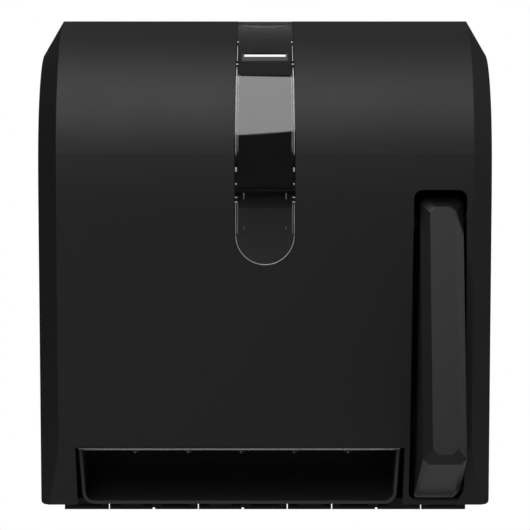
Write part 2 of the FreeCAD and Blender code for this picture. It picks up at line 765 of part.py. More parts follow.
def cover_shell():
    """The moulded front cover with its outlet, lever slot, window seat and hinge bosses."""
    front = slab((-BEHIND, BEHIND), (-BEHIND, float(cover_rear)), (-BEHIND, BEHIND))
    shell = OUTSIDE.cut(INSIDE).common(front)
    side = n.case_width / 2
    corners = rounded(
        slab((-side, side), (-BEHIND, BEHIND), (CASE_FOOT, BEHIND)),
        Vector(0, 1, 0),
        n.corner_round,
        lambda point: point.z < 0,
    )
    shell = shell.common(corners)
    boss_z = float(hinge_z)
    for sign in (-1, 1):
        reach = sorted((sign * (float(d.foot_half) + n.hinge_gap), sign * side))
        boss = cylinder_x(n.hinge_boss / 2, reach[0], reach[1], float(hinge_y), boss_z)
        shell = shell.fuse(boss.common(OUTSIDE))
    bore = side - n.wall - n.pin_skin
    shell = shell.cut(cylinder_x(n.hinge_pin / 2 + n.fit, -bore, bore, float(hinge_y), boss_z))
    notch_top = CASE_FOOT + n.notch_rise
    notch_foot = CASE_FOOT - n.overrun
    notch = front_prism([
        (-n.notch_left, notch_top),
        (n.notch_taper - n.notch_left, notch_foot),
        (n.notch_right - n.notch_taper, notch_foot),
        (n.notch_right, notch_top),
    ], -BEHIND, -n.foot_front)
    ledge = window_prism(-n.window_ledge)
    clear = slab((-BEHIND, BEHIND), (-BEHIND, BEHIND), (n.window_clear, BEHIND))
    return shell.cut([notch, lever_slot_tool(), window_skin(n.window_gap), ledge.common(clear)])


def window():
    """The smoked window that fills its seat in the cover, with the key slot."""
    half = n.key_width / 2
    key = slab((-half, half), (-BEHIND, BEHIND),
               (n.key_level - n.key_height / 2, n.key_level + n.key_height / 2))
    return window_skin(0).cut(key)


def latch_guides():
    """The two guides of the latch bar on the back plate."""
    guides = []
    front = -n.latch_deep - n.latch_half - n.latch_gap
    rear = -n.latch_deep + n.latch_half + n.latch_gap
    for sign in (-1, 1):
        middle = sign * n.guide_half
        across = (middle - n.guide_width / 2, middle + n.guide_width / 2)
        guide = slab(across, (front - n.seat_thick, -n.wall), (n.guide_low, n.guide_high))
        passage = slab(
            (across[0] - n.overrun, across[1] + n.overrun),
            (front, rear),
            (n.latch_low - n.latch_gap, n.latch_low + n.latch_thick + n.latch_gap),
        )
        guides.append(guide.cut(passage))
    return guides


def back_housing():
    """The rear tray: back plate, low walls, screw holes, hanging slot and latch guides."""
    rear = slab((-BEHIND, BEHIND), (float(tray_front), 0), (-BEHIND, BEHIND))
    tray = OUTSIDE.common(rear)
    hollow = casing(n.wall, CASE_FOOT + n.wall, n.overrun)
    tray = tray.cut(hollow.common(slab((-BEHIND, BEHIND), (-BEHIND, -n.wall), (-BEHIND, BEHIND))))
    tools = []
    for across in (-n.screw_span / 2, n.screw_span / 2):
        for up in (-n.screw_rise / 2, n.screw_rise / 2):
            tools.append(cylinder_y(n.screw_hole / 2, -n.wall - n.overrun, n.overrun,
                                    across, n.screw_centre + up))
    tools.append(slab(
        (-n.slot_width / 2, n.slot_width / 2),
        (-n.wall - n.overrun, n.overrun),
        (n.slot_level - n.slot_height / 2, n.slot_level + n.slot_height / 2),
    ))
    return tray.cut(tools).fuse(latch_guides())


made("cover_shell", cover_shell())
made("window", window())
made("back_housing", back_housing())


# Foot tray

# Gaps between blocks of the foot rail that are cut right through, counted from the left
FOOT_OPEN_GAPS = (1, 3, 5, 6, 8)


def foot_tray():
    """The foot tray: a slotted rail in front, a floor, two side walls and the hinge arms."""
    front = -d.foot_front
    rail_rear = front + d.plate
    floor_low = rail_foot + d.foot_floor_low
    floor_high = floor_low + d.foot_floor
    span = (-d.foot_half, d.foot_half)
    shapes = [
        block("foot_rail", span, (front, rail_rear), (rail_foot, floor_high)),
        block("foot_floor", span, (rail_rear, tray_front), (floor_low, floor_high)),
    ]
    arm_half = d.hinge_arm / 2
    arm_outline = lobed(
        (hinge_y, hinge_z), arm_half,
        [(tray_front, hinge_z + arm_half), (tray_front, floor_high), (rail_rear, floor_high)],
    )
    pin_hole = ((hinge_y, hinge_z), d.hinge_pin / 2)
    for side, across in (
        ("left", (-d.foot_half, d.plate - d.foot_half)),
        ("right", (d.foot_half - d.plate, d.foot_half)),
    ):
        shapes.append(block(f"foot_side_{side}", across, (rail_rear, 0), (rail_foot, case_foot)))
        shapes.append(plate(f"hinge_arm_{side}", "YZ", arm_outline, [pin_hole], *across))
    tray = joined("foot_shapes", shapes)
    pitch = 2 * d.foot_half / d.foot_blocks
    low = rail_foot + d.foot_window_low
    through = (front - d.overrun, rail_rear + d.overrun)
    pocket = (front - d.overrun, front + d.foot_window_deep)
    tools = []
    for index in range(int(n.foot_blocks)):
        start = pitch * index - d.foot_half
        if index in FOOT_OPEN_GAPS:
            gap, gap_top = d.foot_slit, floor_low
        else:
            gap, gap_top = d.foot_nick, rail_foot + d.foot_nick_rise
        if index:
            slit = (start - gap / 2, start + gap / 2)
            tools.append(block(f"foot_slit_{index}", slit, through, (rail_foot - d.overrun, gap_top)))
        if index % 2:
            left = start + d.foot_window_edge
            right = start + pitch - d.foot_window_edge
            spans = [(left, left + d.foot_window_side), (right - d.foot_window_side, right)]
        else:
            middle = start + pitch / 2
            spans = [(middle - d.foot_window / 2, middle + d.foot_window / 2)]
        for place, opening in enumerate(spans):
            name = f"foot_window_{index}_{place}"
            tools.append(block(name, opening, pocket, (low, low + d.foot_window_rise)))
    return carved("foot_cut", tray, tools)


kept(foot_tray(), "foot_tray")

pin_inner = d.foot_half - d.plate
pin_outer = half_width - d.wall - d.pin_skin - d.window_gap
for side, ends in (("left", (-pin_outer, -pin_inner)), ("right", (pin_inner, pin_outer))):
    pin = rod(f"pin_{side}", "x", (hinge_y, hinge_z), d.hinge_pin / 2, *ends)
    kept(pin, f"hinge_pin_{side}")


# Frames and the lever bracket

tongue_half = d.block_tongue / 2
pinch_slot = [
    (pinch_y - tongue_half - d.block_play, feed_z - tongue_half - d.block_play),
    (pinch_y + tongue_half + d.block_play + d.pinch_travel, feed_z - tongue_half - d.block_play),
    (pinch_y + tongue_half + d.block_play + d.pinch_travel, feed_z + tongue_half + d.block_play),
    (pinch_y - tongue_half - d.block_play, feed_z + tongue_half + d.block_play),
]
bush_hole = ((feed_y, feed_z), d.shaft_radius + d.bush_wall)
pivot_hole = ((pivot_y, pivot_z), d.pivot_radius)
nose_corner = (-d.nose_front, frame_low + d.nose_round)

# Corners of the right frame's opening as shares of its reach and of its height
FRAME_OPENING_SHARES = [(0.14, 0.3), (0.36, 0.3), (0.8, 0.52), (0.8, 0.86), (0.14, 0.86)]


def frame(side, outline, holes, across, inward):
    """A frame plate with its flange on the back plate and the lug of its pinch spring."""
    sheet_part = plate(f"{side}_frame_plate", "YZ", outline, holes, *across)
    inner, outer = across if side == "right" else reversed(across)
    top = outline[-1][1]
    flange = sorted((outer, outer - inward * d.flange), key=float)
    foot = block(f"{side}_frame_flange", flange, (back_inner - d.plate, back_inner), (frame_low, top))
    lug_across = sorted((inner, inner + inward * d.block_width), key=float)
    lug = block(
        f"{side}_frame_lug", lug_across,
        (-d.pinch_lug, d.plate - d.pinch_lug),
        (feed_z - d.lug_half, feed_z + d.lug_half),
    )
    return kept(joined(f"{side}_frame_all", [sheet_part, foot, lug]), f"{side}_frame")


frame_height = d.frame_head - frame_low
opening = [(-share_y * d.frame_reach, frame_low + share_z * frame_height)
           for share_y, share_z in FRAME_OPENING_SHARES]
right_outline = [
    (back_inner, frame_low),
    (-d.frame_reach, frame_low),
    nose_corner,
    (pivot_y - d.bracket_round, pivot_z - d.bracket_round),
    (pivot_y - d.bracket_round, d.frame_head),
    (back_inner, d.frame_head),
]
frame("right", right_outline, [bush_hole, pivot_hole, pinch_slot, opening],
      (d.frame_right, frame_right_outer), -1)

left_outline = [
    (back_inner, frame_low),
    (-d.frame_reach, frame_low),
    nose_corner,
    (nose_corner[0] + d.flange, feed_z),
    (feed_y - d.feed_radius, d.frame_shoulder),
    (back_inner, d.frame_shoulder),
]
frame("left", left_outline, [bush_hole, pinch_slot], (frame_left_outer, -d.frame_left), 1)

bracket_outline = lobed(
    (pivot_y, pivot_z), d.bracket_round,
    [(back_inner, pivot_z + d.bracket_root), (back_inner, pivot_z - d.bracket_root)],
)
bracket = plate("bracket_plate", "YZ", bracket_outline, [pivot_hole], bracket_inner, d.bracket_outer)
bracket_flange = block(
    "bracket_flange", (bracket_inner - d.flange, bracket_inner),
    (back_inner - d.plate, back_inner),
    (pivot_z - d.bracket_root, pivot_z + d.bracket_root),
)
kept(joined("bracket_all", [bracket, bracket_flange]), "lever_bracket")

pivot_pin = rod("pivot_pin", "x", (pivot_y, pivot_z), d.pivot_radius,
                d.frame_right - d.seat_thick, d.bracket_outer + d.seat_thick)
kept(pivot_pin, "lever_pivot_pin")


# Chute

def chute():
    """The scoop below the rollers: a curved floor between two tapering side walls."""
    top = float(frame_low)
    middle_y = -n.chute_lip
    middle_z = CASE_FOOT + n.chute_radius

    def scoop(inset, margin):
        """The scoop's solid form, drawn in by a wall and carried out past its mouth."""
        radius = n.chute_radius - inset
        left = -n.chute_left + inset
        right = n.chute_right - inset
        foot = CASE_FOOT + inset
        round_radius = n.chute_round - inset
        front = -float(d.frame_reach) - margin
        outline = [
            (left, top + margin),
            (left + n.chute_taper, foot),
            (right - n.chute_taper, foot),
            (right, top + margin),
        ]
        throat = front_prism(outline, front, 0)
        low_corner = middle_z - radius / 2
        throat = rounded(throat, Vector(0, 1, 0), round_radius, lambda point: point.z < low_corner)
        drum = cylinder_x(radius, left, right, middle_y, middle_z)
        mouth = slab((left, right), (front, middle_y), (foot, top + margin))
        return throat.common(drum.fuse(mouth))

    shell = scoop(0, 0).cut(scoop(n.chute_wall, n.overrun))
    keep = [
        (-n.frame_reach, top),
        (-n.chute_lip, CASE_FOOT),
        (0, CASE_FOOT),
        (0, top),
    ]
    return shell.common(side_prism(keep, -n.case_width, n.case_width))


made("chute", chute())


# Nose guide and tear bar

bar_top = frame_low - d.bar_drop
bar_foot = bar_top - d.bar_thick
grip_number = int(n.grip_count)
grip_places = [core_middle + grip_pitch * (index - (grip_number - 1) / 2) for index in range(grip_number)]
gap_places = [place + grip_pitch / 2 for place in grip_places[:-1]]
nose_span = (-d.frame_left, d.frame_right)


def nose_guide():
    """The guide bar in front of the feed roller, with stripping fingers and blade hooks."""
    outline = [
        (-d.frame_reach, bar_top),
        (-d.nose_front, frame_low + d.nose_slope),
        (d.nose_round - d.nose_front, d.nose_top),
        (-nose_rear, d.nose_top),
        (-nose_rear, bar_top),
    ]
    shapes = [plate("nose_bar", "YZ", outline, [], *nose_span)]
    finger = [
        (-nose_rear, d.nose_top - d.finger_high),
        (-finger_tip, d.nose_top),
        (-finger_tip, d.nose_top + d.finger_high / 2),
        (-nose_rear - d.finger_width, d.nose_top + d.finger_high / 2),
        (-nose_rear - d.finger_width, d.nose_top - d.finger_high),
    ]
    hook = [
        (-d.hook_reach, bar_foot),
        (-d.hook_reach, bar_top - d.hook_drop),
        (d.seat_thick - d.hook_root, bar_top - d.hook_drop),
        (d.seat_thick - d.hook_root, bar_top),
        (-d.hook_root, bar_top),
        (-d.hook_root, bar_foot),
    ]
    for index, place in enumerate(gap_places):
        across = (place - d.finger_width / 2, place + d.finger_width / 2)
        shapes.append(plate(f"finger_{index}", "YZ", finger, [], *across))
        shapes.append(plate(f"hook_{index}", "YZ", hook, [], *across))
    return joined("nose_all", shapes)


def tear_bar():
    """The steel blade with a saw edge, flat under the nose guide."""
    left, right = (float(end) for end in nose_span)
    low = float(bar_foot)
    pitch = (right - left) / n.bar_teeth
    points = [(right, -n.hook_root, low), (left, -n.hook_root, low)]
    for index in range(int(n.bar_teeth)):
        points.append((left + pitch * index, n.tooth_deep - n.bar_reach, low))
        points.append((left + pitch * (index + 0.5), -n.bar_reach, low))
    points.append((right, n.tooth_deep - n.bar_reach, low))
    return polygon_face(points).extrude(Vector(0, 0, n.bar_thick))


kept(nose_guide(), "nose_guide")
made("tear_bar", tear_bar())


# Feed roller

def ring(name, centre, outer, inner, low, high):
    """A tube along X."""
    body = rod(name + "_outer", "x", centre, outer, low, high)
    bore = rod(name + "_bore", "x", centre, inner, low - d.overrun, high + d.overrun)
    return carved(name + "_ring", body, [bore])


feed_axis = (feed_y, feed_z)
bush_outer = d.shaft_radius + d.bush_wall
knob_right = frame_left_outer - d.bush_flange - d.knob_gap
knob_left = knob_right - d.knob_width
pinion_right = d.gear_right + (d.gear_left - d.pinion_left)
shaft_right = pinion_right + (d.gear_left - d.pinion_left)


def feed_bush(side, low, high, flange_low, flange_high):
    """A flanged bush that carries the feed shaft in a frame."""
    sleeve = rod(f"bush_{side}_sleeve", "x", feed_axis, bush_outer, low, high)
    collar = rod(f"bush_{side}_collar", "x", feed_axis, bush_outer + d.bush_wall, flange_low, flange_high)
    bore = rod(f"bush_{side}_bore", "x", feed_axis, d.shaft_radius + d.fit, low - d.overrun, high + d.overrun)
    body = joined(f"bush_{side}_body", [sleeve, collar])
    kept(carved(f"bush_{side}_all", body, [bore]), f"feed_bush_{side}")


feed_bush("right", d.frame_right - d.bush_flange, frame_right_outer,
          d.frame_right - d.bush_flange, d.frame_right)
feed_bush("left", frame_left_outer - d.bush_flange, -d.frame_left,
          frame_left_outer - d.bush_flange, frame_left_outer)

kept(rod("feed_rod", "x", feed_axis, d.shaft_radius, knob_left + d.seat_thick, shaft_right), "feed_shaft")
kept(ring("core", feed_axis, d.feed_radius, d.shaft_radius, -d.core_left, d.core_right), "feed_core")
for index, place in enumerate(grip_places, start=1):
    grip = ring(f"grip_{index}", feed_axis, grip_radius, d.feed_radius,
                place - d.grip_width / 2, place + d.grip_width / 2)
    kept(grip, f"feed_grip_{index}")



def feed_knob():
    """The fluted thumb knob that winds the feed roller by hand."""
    across, up = float(feed_y), float(feed_z)
    outline = []
    for index in range(2 * int(n.knob_flutes)):
        turn = math.pi * index / n.knob_flutes
        radius = n.knob_radius - n.flute_deep * (index % 2)
        outline.append((across + radius * math.cos(turn), up + radius * math.sin(turn)))
    low, high = float(knob_left), float(knob_right)
    bore = cylinder_x(n.shaft_radius, low + n.seat_thick, high + n.overrun, across, up)
    return side_prism(outline, low, high).cut(bore)


made("feed_knob", feed_knob())


# Pinch roller

pinch_axis = (pinch_y, feed_z)
block_right = d.frame_right - d.block_play
block_left = d.block_play - d.frame_left


def pinch_block(side, across, tongue):
    """A sliding block that carries one end of the pinch shaft."""
    deep = (pinch_y - d.block_deep / 2, pinch_y + d.block_deep / 2)
    high = (feed_z - d.block_high / 2, feed_z + d.block_high / 2)
    body = block(f"block_{side}_body", across, deep, high)
    key = block(f"block_{side}_tongue", tongue,
                (pinch_y - tongue_half, pinch_y + tongue_half),
                (feed_z - tongue_half, feed_z + tongue_half))
    bore = rod(f"block_{side}_bore", "x", pinch_axis, d.pinch_shaft,
               across[0] - d.overrun, across[1] + d.overrun)
    whole = joined(f"block_{side}_whole", [body, key])
    kept(carved(f"block_{side}_all", whole, [bore]), f"pinch_block_{side}")


pinch_block("right", (block_right - d.block_width, block_right),
            (block_right, frame_right_outer - d.window_gap))
pinch_block("left", (block_left, block_left + d.block_width),
            (frame_left_outer + d.window_gap, block_left))
kept(rod("pinch_rod", "x", pinch_axis, d.pinch_shaft, block_left, block_right), "pinch_shaft")
for index, place in enumerate(grip_places, start=1):
    sleeve = ring(f"sleeve_{index}", pinch_axis, d.pinch_radius, d.pinch_shaft + d.fit,
                  place - d.sleeve_width / 2, place + d.sleeve_width / 2)
    kept(sleeve, f"pinch_sleeve_{index}")


# Springs

def coil(radius, wire, turns, start, end, across, up):
    """A compression spring along Y, wound from straight-sided lengths of wire."""
    count = int(turns) * COIL_STEPS
    travel = end - start - wire
    sections = []
    for index in range(count + 1):
        turn = 2 * math.pi * index / COIL_STEPS
        centre_y = start + wire / 2 + travel * index / count
        outward = Vector(math.cos(turn), 0, math.sin(turn))
        middle = Vector(across, centre_y, up) + outward * radius
        corners = []
        for side in range(WIRE_SIDES):
            angle = 2 * math.pi * side / WIRE_SIDES
            corners.append(middle + outward * (wire / 2 * math.cos(angle))
                           + Vector(0, wire / 2 * math.sin(angle), 0))
        sections.append(Part.makePolygon(corners + [corners[0]]))
    return Part.makeLoft(sections, True, True)


spring_x = float(frame_right_outer + d.lever_left - d.lever_draft_left) / 2
spring_z = n.pivot_level - n.lever_spring_drop
made("lever_spring", coil(
    n.lever_spring_radius, n.lever_spring_wire, n.lever_spring_turns,
    -n.lever_spring_front, -n.lever_spring_rear, spring_x, spring_z,
))
for side, across in (
    ("left", float(block_left) + n.block_width / 2),
    ("right", float(block_right) - n.block_width / 2),
):
    made(f"pinch_spring_{side}", coil(
        n.pinch_spring_radius, n.pinch_spring_wire, n.pinch_spring_turns,
        float(pinch_y) + n.block_deep / 2, -n.pinch_lug, across, float(feed_z),
    ))

post_x = (frame_right_outer + d.lever_left - d.lever_draft_left) / 2
post_axis = (post_x, pivot_z - d.lever_spring_drop)
post_seat = rod("post_seat", "y", post_axis, d.spring_seat, -d.lever_spring_rear, back_inner - d.plate)
post_pin = rod("post_pin", "y", post_axis, d.spring_post,
               -d.lever_spring_rear - d.flange, -d.lever_spring_rear)
kept(joined("post_all", [post_seat, post_pin]), "spring_post")


# Lever

LEVER_TURN = math.radians(n.lever_lean)


def lever_point(across, along, deep):
    """A point of the lever from its place across, down along and behind the face."""
    return Vector(
        across,
        -n.lever_top_deep - along * math.sin(LEVER_TURN) + deep * math.cos(LEVER_TURN),
        n.lever_top - along * math.cos(LEVER_TURN) - deep * math.sin(LEVER_TURN),
    )


def lever_section(left, right, top, foot, deep, corners):
    """An oblong parallel to the lever's face, with cut corners: upper, lower left, lower right."""
    corner, corner_left, corner_right = corners
    outline = [
        (left + corner, top), (right - corner, top),
        (right, top + corner), (right, foot - corner_right),
        (right - corner_right, foot), (left + corner_left, foot),
        (left, foot - corner_left), (left, top + corner),
    ]
    points = [lever_point(across, along, deep) for across, along in outline]
    return Part.makePolygon(points + [points[0]])


def lever_form(inset, extra):
    """The lever's solid form, drawn in by a wall and carried back by an extra depth."""
    deep = n.lever_deep + extra
    share = (deep - n.lever_bevel) / (n.lever_deep - n.lever_bevel)
    left = n.lever_left + inset
    right = n.lever_right - inset
    top = inset - n.lever_bevel_top
    foot = n.lever_length + n.lever_bevel_foot - inset
    face_shift = inset / 2
    even = (n.lever_corner,) * 3
    rear = (
        n.lever_corner,
        n.lever_corner + (n.lever_corner_left - n.lever_corner) * share,
        n.lever_corner + (n.lever_corner_right - n.lever_corner) * share,
    )
    return Part.makeLoft([
        lever_section(n.lever_face_left + face_shift, n.lever_face_right - face_shift,
                      face_shift, n.lever_length - face_shift, inset, even),
        lever_section(left, right, top, foot, n.lever_bevel + face_shift, even),
        lever_section(left - n.lever_draft_left * share, right, top,
                      foot + n.lever_draft_foot * share, deep, rear),
    ], True, True)


# Places of the lever's inner ribs along its face, as shares of its length
LEVER_RIB_SHARES = (0.36, 0.6, 0.84)


def lever_grip():
    """The hollow faceted lever with inner ribs and its pivot tube."""
    form = lever_form(0, 0)
    shell = form.cut(lever_form(n.lever_wall, n.overrun))
    for share in LEVER_RIB_SHARES:
        along = share * n.lever_length
        corners = [lever_point(0, along + edge * n.lever_rib / 2, deep)
                   for edge, deep in ((-1, 0), (1, 0), (1, n.lever_deep / 2), (-1, n.lever_deep / 2))]
        rib = side_prism([(corner.y, corner.z) for corner in corners], n.lever_left, n.lever_right)
        shell = shell.fuse(rib.common(form))
    head = n.slot_top + n.overrun
    foot = CASE_FOOT - n.overrun
    front = -2 * n.case_depth
    keep = [
        (-n.lever_rear_top, head),
        (-n.lever_rear_foot, n.lever_rear_level),
        (-n.lever_heel, CASE_FOOT + n.slot_strip + n.lever_heel_gap),
        (-n.lever_heel, foot),
        (front, foot),
        (front, head),
    ]
    shell = shell.common(side_prism(keep, 0, n.case_width))
    tube_left = n.lever_left - n.lever_draft_left
    tube_right = n.lever_right
    pivot_place = (-n.pivot_deep, n.pivot_level)
    shell = shell.fuse(cylinder_x(n.pivot_boss, tube_left, tube_right, *pivot_place))
    bore = cylinder_x(n.pivot_radius + n.fit, tube_left - n.overrun, tube_right + n.overrun, *pivot_place)
    return shell.cut(bore)


made("lever_grip", lever_grip())


# Sector and pinion

def involute(angle):
    """The involute function."""
    return math.tan(angle) - angle


def tooth_flank(teeth, addendum):
    """Half angles of one tooth from its root to its tip, as (radius, angle) pairs."""
    pitch_radius = n.module * teeth / 2
    pressure = math.radians(n.pressure)
    base = pitch_radius * math.cos(pressure)
    root_radius = pitch_radius - n.dedendum
    tip = pitch_radius + addendum
    half = math.pi / (2 * teeth) - n.backlash / (4 * pitch_radius)
    start = max(base, root_radius)
    flank = []
    for index in range(FLANK_STEPS + 1):
        radius = start + (tip - start) * index / FLANK_STEPS
        flank.append((radius, half + involute(pressure) - involute(math.acos(base / radius))))
    if root_radius < base:
        flank.insert(0, (root_radius, flank[0][1]))
    return flank


def tooth_points(teeth, addendum, centre, middle):
    """The corners of one tooth about a centre, in the order of rising angle."""
    flank = tooth_flank(teeth, addendum)
    turns = [(radius, middle - half) for radius, half in flank]
    turns += [(radius, middle + half) for radius, half in reversed(flank)]
    return [(centre[0] + radius * math.cos(turn), centre[1] + radius * math.sin(turn))
            for radius, turn in turns]


PIVOT = (-n.pivot_deep, n.pivot_level)
FEED = (float(feed_y), float(feed_z))
MESH_TURN = math.atan2(FEED[1] - PIVOT[1], FEED[0] - PIVOT[0])


def sector_arm():
    """The toothed sector on its webbed arm, with its hub and spring seat."""
    step = 2 * math.pi / n.sector_teeth
    first = MESH_TURN - (n.sector_cut - 1 - n.sector_lead) * step
    last = MESH_TURN + n.sector_lead * step
    root_radius = n.module * n.sector_teeth / 2 - n.dedendum

    def at(radius, turn):
        return (PIVOT[0] + radius * math.cos(turn), PIVOT[1] + radius * math.sin(turn))

    start = first - step / 2
    end = last + step / 2
    outline = [PIVOT, at(root_radius, start)]
    for index in range(int(n.sector_cut)):
        outline += tooth_points(n.sector_teeth, n.sector_addendum, PIVOT, first + index * step)
    outline.append(at(root_radius, end))
    arm = side_prism(outline, n.gear_left, n.gear_right)
    inner = root_radius - n.rim
    edge = n.rim / 2 / inner
    deep = (n.gear_right - n.gear_left - n.sector_web) / 2
    hollow = [at(n.sector_hub, (start + end) / 2), at(inner, start + edge)]
    for index in range(1, ARC_STEPS):
        hollow.append(at(inner, start + edge + (end - start - 2 * edge) * index / ARC_STEPS))
    hollow.append(at(inner, end - edge))
    arm = arm.cut(side_prism(hollow, n.gear_left - n.overrun, n.gear_left + deep))
    arm = arm.cut(side_prism(hollow, n.gear_right - deep, n.gear_right + n.overrun))
    hub_right = n.lever_left - n.lever_draft_left
    arm = arm.fuse(cylinder_x(n.sector_hub, n.gear_left, hub_right, *PIVOT))
    seat = cylinder_y(n.spring_seat, -n.lever_spring_front - n.spring_seat * 2, -n.lever_spring_front,
                      spring_x, spring_z)
    arm = arm.fuse(seat)
    bore = cylinder_x(n.pivot_radius + n.fit, n.gear_left - n.overrun, hub_right + n.overrun, *PIVOT)
    return arm.cut(bore)


def drive_pinion():
    """The pinion that the sector drives."""
    step = 2 * math.pi / n.pinion_teeth
    start = MESH_TURN + math.pi + step / 2
    outline = []
    for index in range(int(n.pinion_teeth)):
        outline += tooth_points(n.pinion_teeth, n.module, FEED, start + index * step)
    gear = side_prism(outline, n.pinion_left, float(pinion_right))
    bore = cylinder_x(n.clutch_radius, n.pinion_left - n.overrun, float(pinion_right) + n.overrun, *FEED)
    return gear.cut(bore)


made("sector_arm", sector_arm())
made("drive_pinion", drive_pinion())
clutch = ring("clutch", feed_axis, d.clutch_radius, d.shaft_radius + d.fit, d.pinion_left, pinion_right)
kept(clutch, "clutch_ring")


# Roll holder

roll_axis = (-d.roll_deep, d.roll_level)
right_arm_inner = d.roll_right + d.hub_flange_thick + d.hub_gap
left_arm_inner = -(d.roll_left + d.hub_flange_thick + d.hub_gap)


def hub(side, flange, core):
    """A hollow roll hub: a flange with a tapered core and a bored sleeve."""
    sign = 1 if side == "left" else -1
    low, high = sorted(core, key=float)
    wide, narrow = (d.hub_core, d.hub_tip) if sign > 0 else (d.hub_tip, d.hub_core)
    disc = rod(f"hub_{side}_disc", "x", roll_axis, d.hub_flange, *sorted(flange, key=float))
    outer = cone(f"hub_{side}_core", "x", roll_axis, wide, narrow, low, high)
    inner = cone(f"hub_{side}_inner", "x", roll_axis, wide - d.hub_wall, narrow - d.hub_wall, low, high)
    sleeve = rod(f"hub_{side}_sleeve", "x", roll_axis, d.hub_spindle + d.hub_wall,
                 low - d.overrun, high + d.overrun)
    hollow = carved(f"hub_{side}_hollow", inner, [sleeve])
    bore = rod(f"hub_{side}_bore", "x", roll_axis, d.hub_spindle + d.fit, low - d.flange, high + d.flange)
    body = joined(f"hub_{side}_body", [disc, outer])
    kept(carved(f"hub_{side}_all", body, [hollow, bore]), f"{side}_hub")


hub("right", (d.roll_right, d.roll_right + d.hub_flange_thick), (d.roll_right - d.hub_length, d.roll_right))
hub("left", (-d.roll_left - d.hub_flange_thick, -d.roll_left), (-d.roll_left, d.hub_length - d.roll_left))

right_arm_outline = lobed(
    roll_axis, d.arm_half_tip,
    [(back_inner, d.roll_level + d.arm_half_root), (back_inner, d.roll_level - d.arm_half_root)],
)
right_arm = plate("right_arm_plate", "YZ", right_arm_outline, [], right_arm_inner, right_arm_inner + d.plate)
right_arm_flange = block(
    "right_arm_flange", (right_arm_inner - d.flange, right_arm_inner),
    (back_inner - d.plate, back_inner),
    (d.roll_level - d.arm_half_root, d.roll_level + d.arm_half_root),
)
right_spindle = rod("right_spindle", "x", roll_axis, d.hub_spindle,
                    d.roll_right - d.hub_length, right_arm_inner)
kept(joined("right_arm_all", [right_arm, right_arm_flange, right_spindle]), "right_roll_arm")

arm_pin_x = left_arm_inner - d.plate * 3 / 2
arm_axis = (arm_pin_x, -d.arm_pin_deep)
barrel_low = d.roll_level - d.arm_half_root
barrel_high = d.roll_level + d.arm_half_root
left_arm_outline = lobed(
    roll_axis, d.arm_half_tip,
    [(-d.arm_pin_deep, barrel_high), (-d.arm_pin_deep, barrel_low)],
)
left_arm = plate("left_arm_plate", "YZ", left_arm_outline, [], left_arm_inner - d.plate, left_arm_inner)
left_spindle = rod("left_spindle", "x", roll_axis, d.hub_spindle, left_arm_inner, d.hub_length - d.roll_left)
barrel = rod("arm_barrel_body", "z", arm_axis, d.arm_barrel, barrel_low, barrel_high)
barrel_bore = rod("arm_barrel_bore", "z", arm_axis, d.arm_pin + d.fit, barrel_low - d.overrun,
                  barrel_high + d.overrun)
left_arm_body = joined("left_arm_body", [left_arm, left_spindle, barrel])
kept(carved("left_arm_all", left_arm_body, [barrel_bore]), "left_roll_arm")

lug_levels = [
    (barrel_low - d.arm_lug_gap - d.arm_lug, barrel_low - d.arm_lug_gap),
    (barrel_high + d.arm_lug_gap, barrel_high + d.arm_lug_gap + d.arm_lug),
]
for place, levels in zip(("lower", "upper"), lug_levels):
    lug = block(f"arm_lug_{place}_body", (arm_pin_x - d.arm_barrel, arm_pin_x + d.arm_barrel),
                (-d.arm_pin_deep - d.arm_barrel, back_inner), levels)
    hole = rod(f"arm_lug_{place}_hole", "z", arm_axis, d.arm_pin,
               levels[0] - d.overrun, levels[1] + d.overrun)
    kept(carved(f"arm_lug_{place}_all", lug, [hole]), f"arm_lug_{place}")
kept(rod("arm_pin_rod", "z", arm_axis, d.arm_pin, lug_levels[0][0], lug_levels[1][1]), "arm_pivot_pin")


# Latch

latch_deep = (-d.latch_deep - d.latch_half, d.latch_half - d.latch_deep)
keeper_inner = case_top - d.wall
keeper_front = tray_front - d.flange
tooth_spans = []
for side, sign in (("left", -1), ("right", 1)):
    middle = sign * d.keeper_centre
    left = middle - d.keeper_width / 2
    right = middle + d.keeper_width / 2
    notch_deep = (latch_deep[0] - d.latch_gap, latch_deep[1] + d.latch_gap)
    top = d.keeper_low + d.keeper_thick
    stem = block(f"keeper_{side}_stem", (left, right), (keeper_front, keeper_front + d.keeper_thick),
                 (d.keeper_low, keeper_inner))
    tab = block(f"keeper_{side}_tab", (left, right), (keeper_front, notch_deep[1] - d.latch_gap),
                (d.keeper_low, top))
    notch = block(f"keeper_{side}_notch", (left - d.overrun, left + d.keeper_notch), notch_deep,
                  (d.keeper_low - d.overrun, top + d.overrun))
    keeper_body = joined(f"keeper_{side}_body", [stem, tab])
    kept(carved(f"keeper_{side}_all", keeper_body, [notch]), f"keeper_{side}")
    tooth_spans.append((left - 2 * d.latch_tooth, left - d.latch_tooth))
latch_shapes = [block("latch_rail", (tooth_spans[0][0], tooth_spans[1][1]), latch_deep,
                      (d.latch_low, d.latch_low + d.latch_thick))]
for index, span in enumerate(tooth_spans):
    latch_shapes.append(block(f"latch_tooth_{index}", span, latch_deep,
                              (d.latch_low - d.latch_drop, d.latch_low)))
kept(joined("latch_all", latch_shapes), "latch_bar")


# Check every object and write the sub-parts

doc.recompute()
failed = [obj.Name for obj in doc.Objects if {"Invalid", "Error"} & set(obj.State)]
if failed:
    raise RuntimeError(f"failed objects: {failed}")
for obj in NODES:
    shape = obj.Shape
    if shape.isNull() or not shape.isValid() or not shape.Solids:
        raise RuntimeError(f"{obj.Label} has no valid solid")

os.makedirs("parts", exist_ok=True)
for obj in NODES:
    obj.Shape.exportStep(f"parts/{obj.Label}.step")
print(f"wrote {len(NODES)} sub-parts")
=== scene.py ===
"""Looks of the black lever paper towel dispenser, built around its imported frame."""

import json
import math

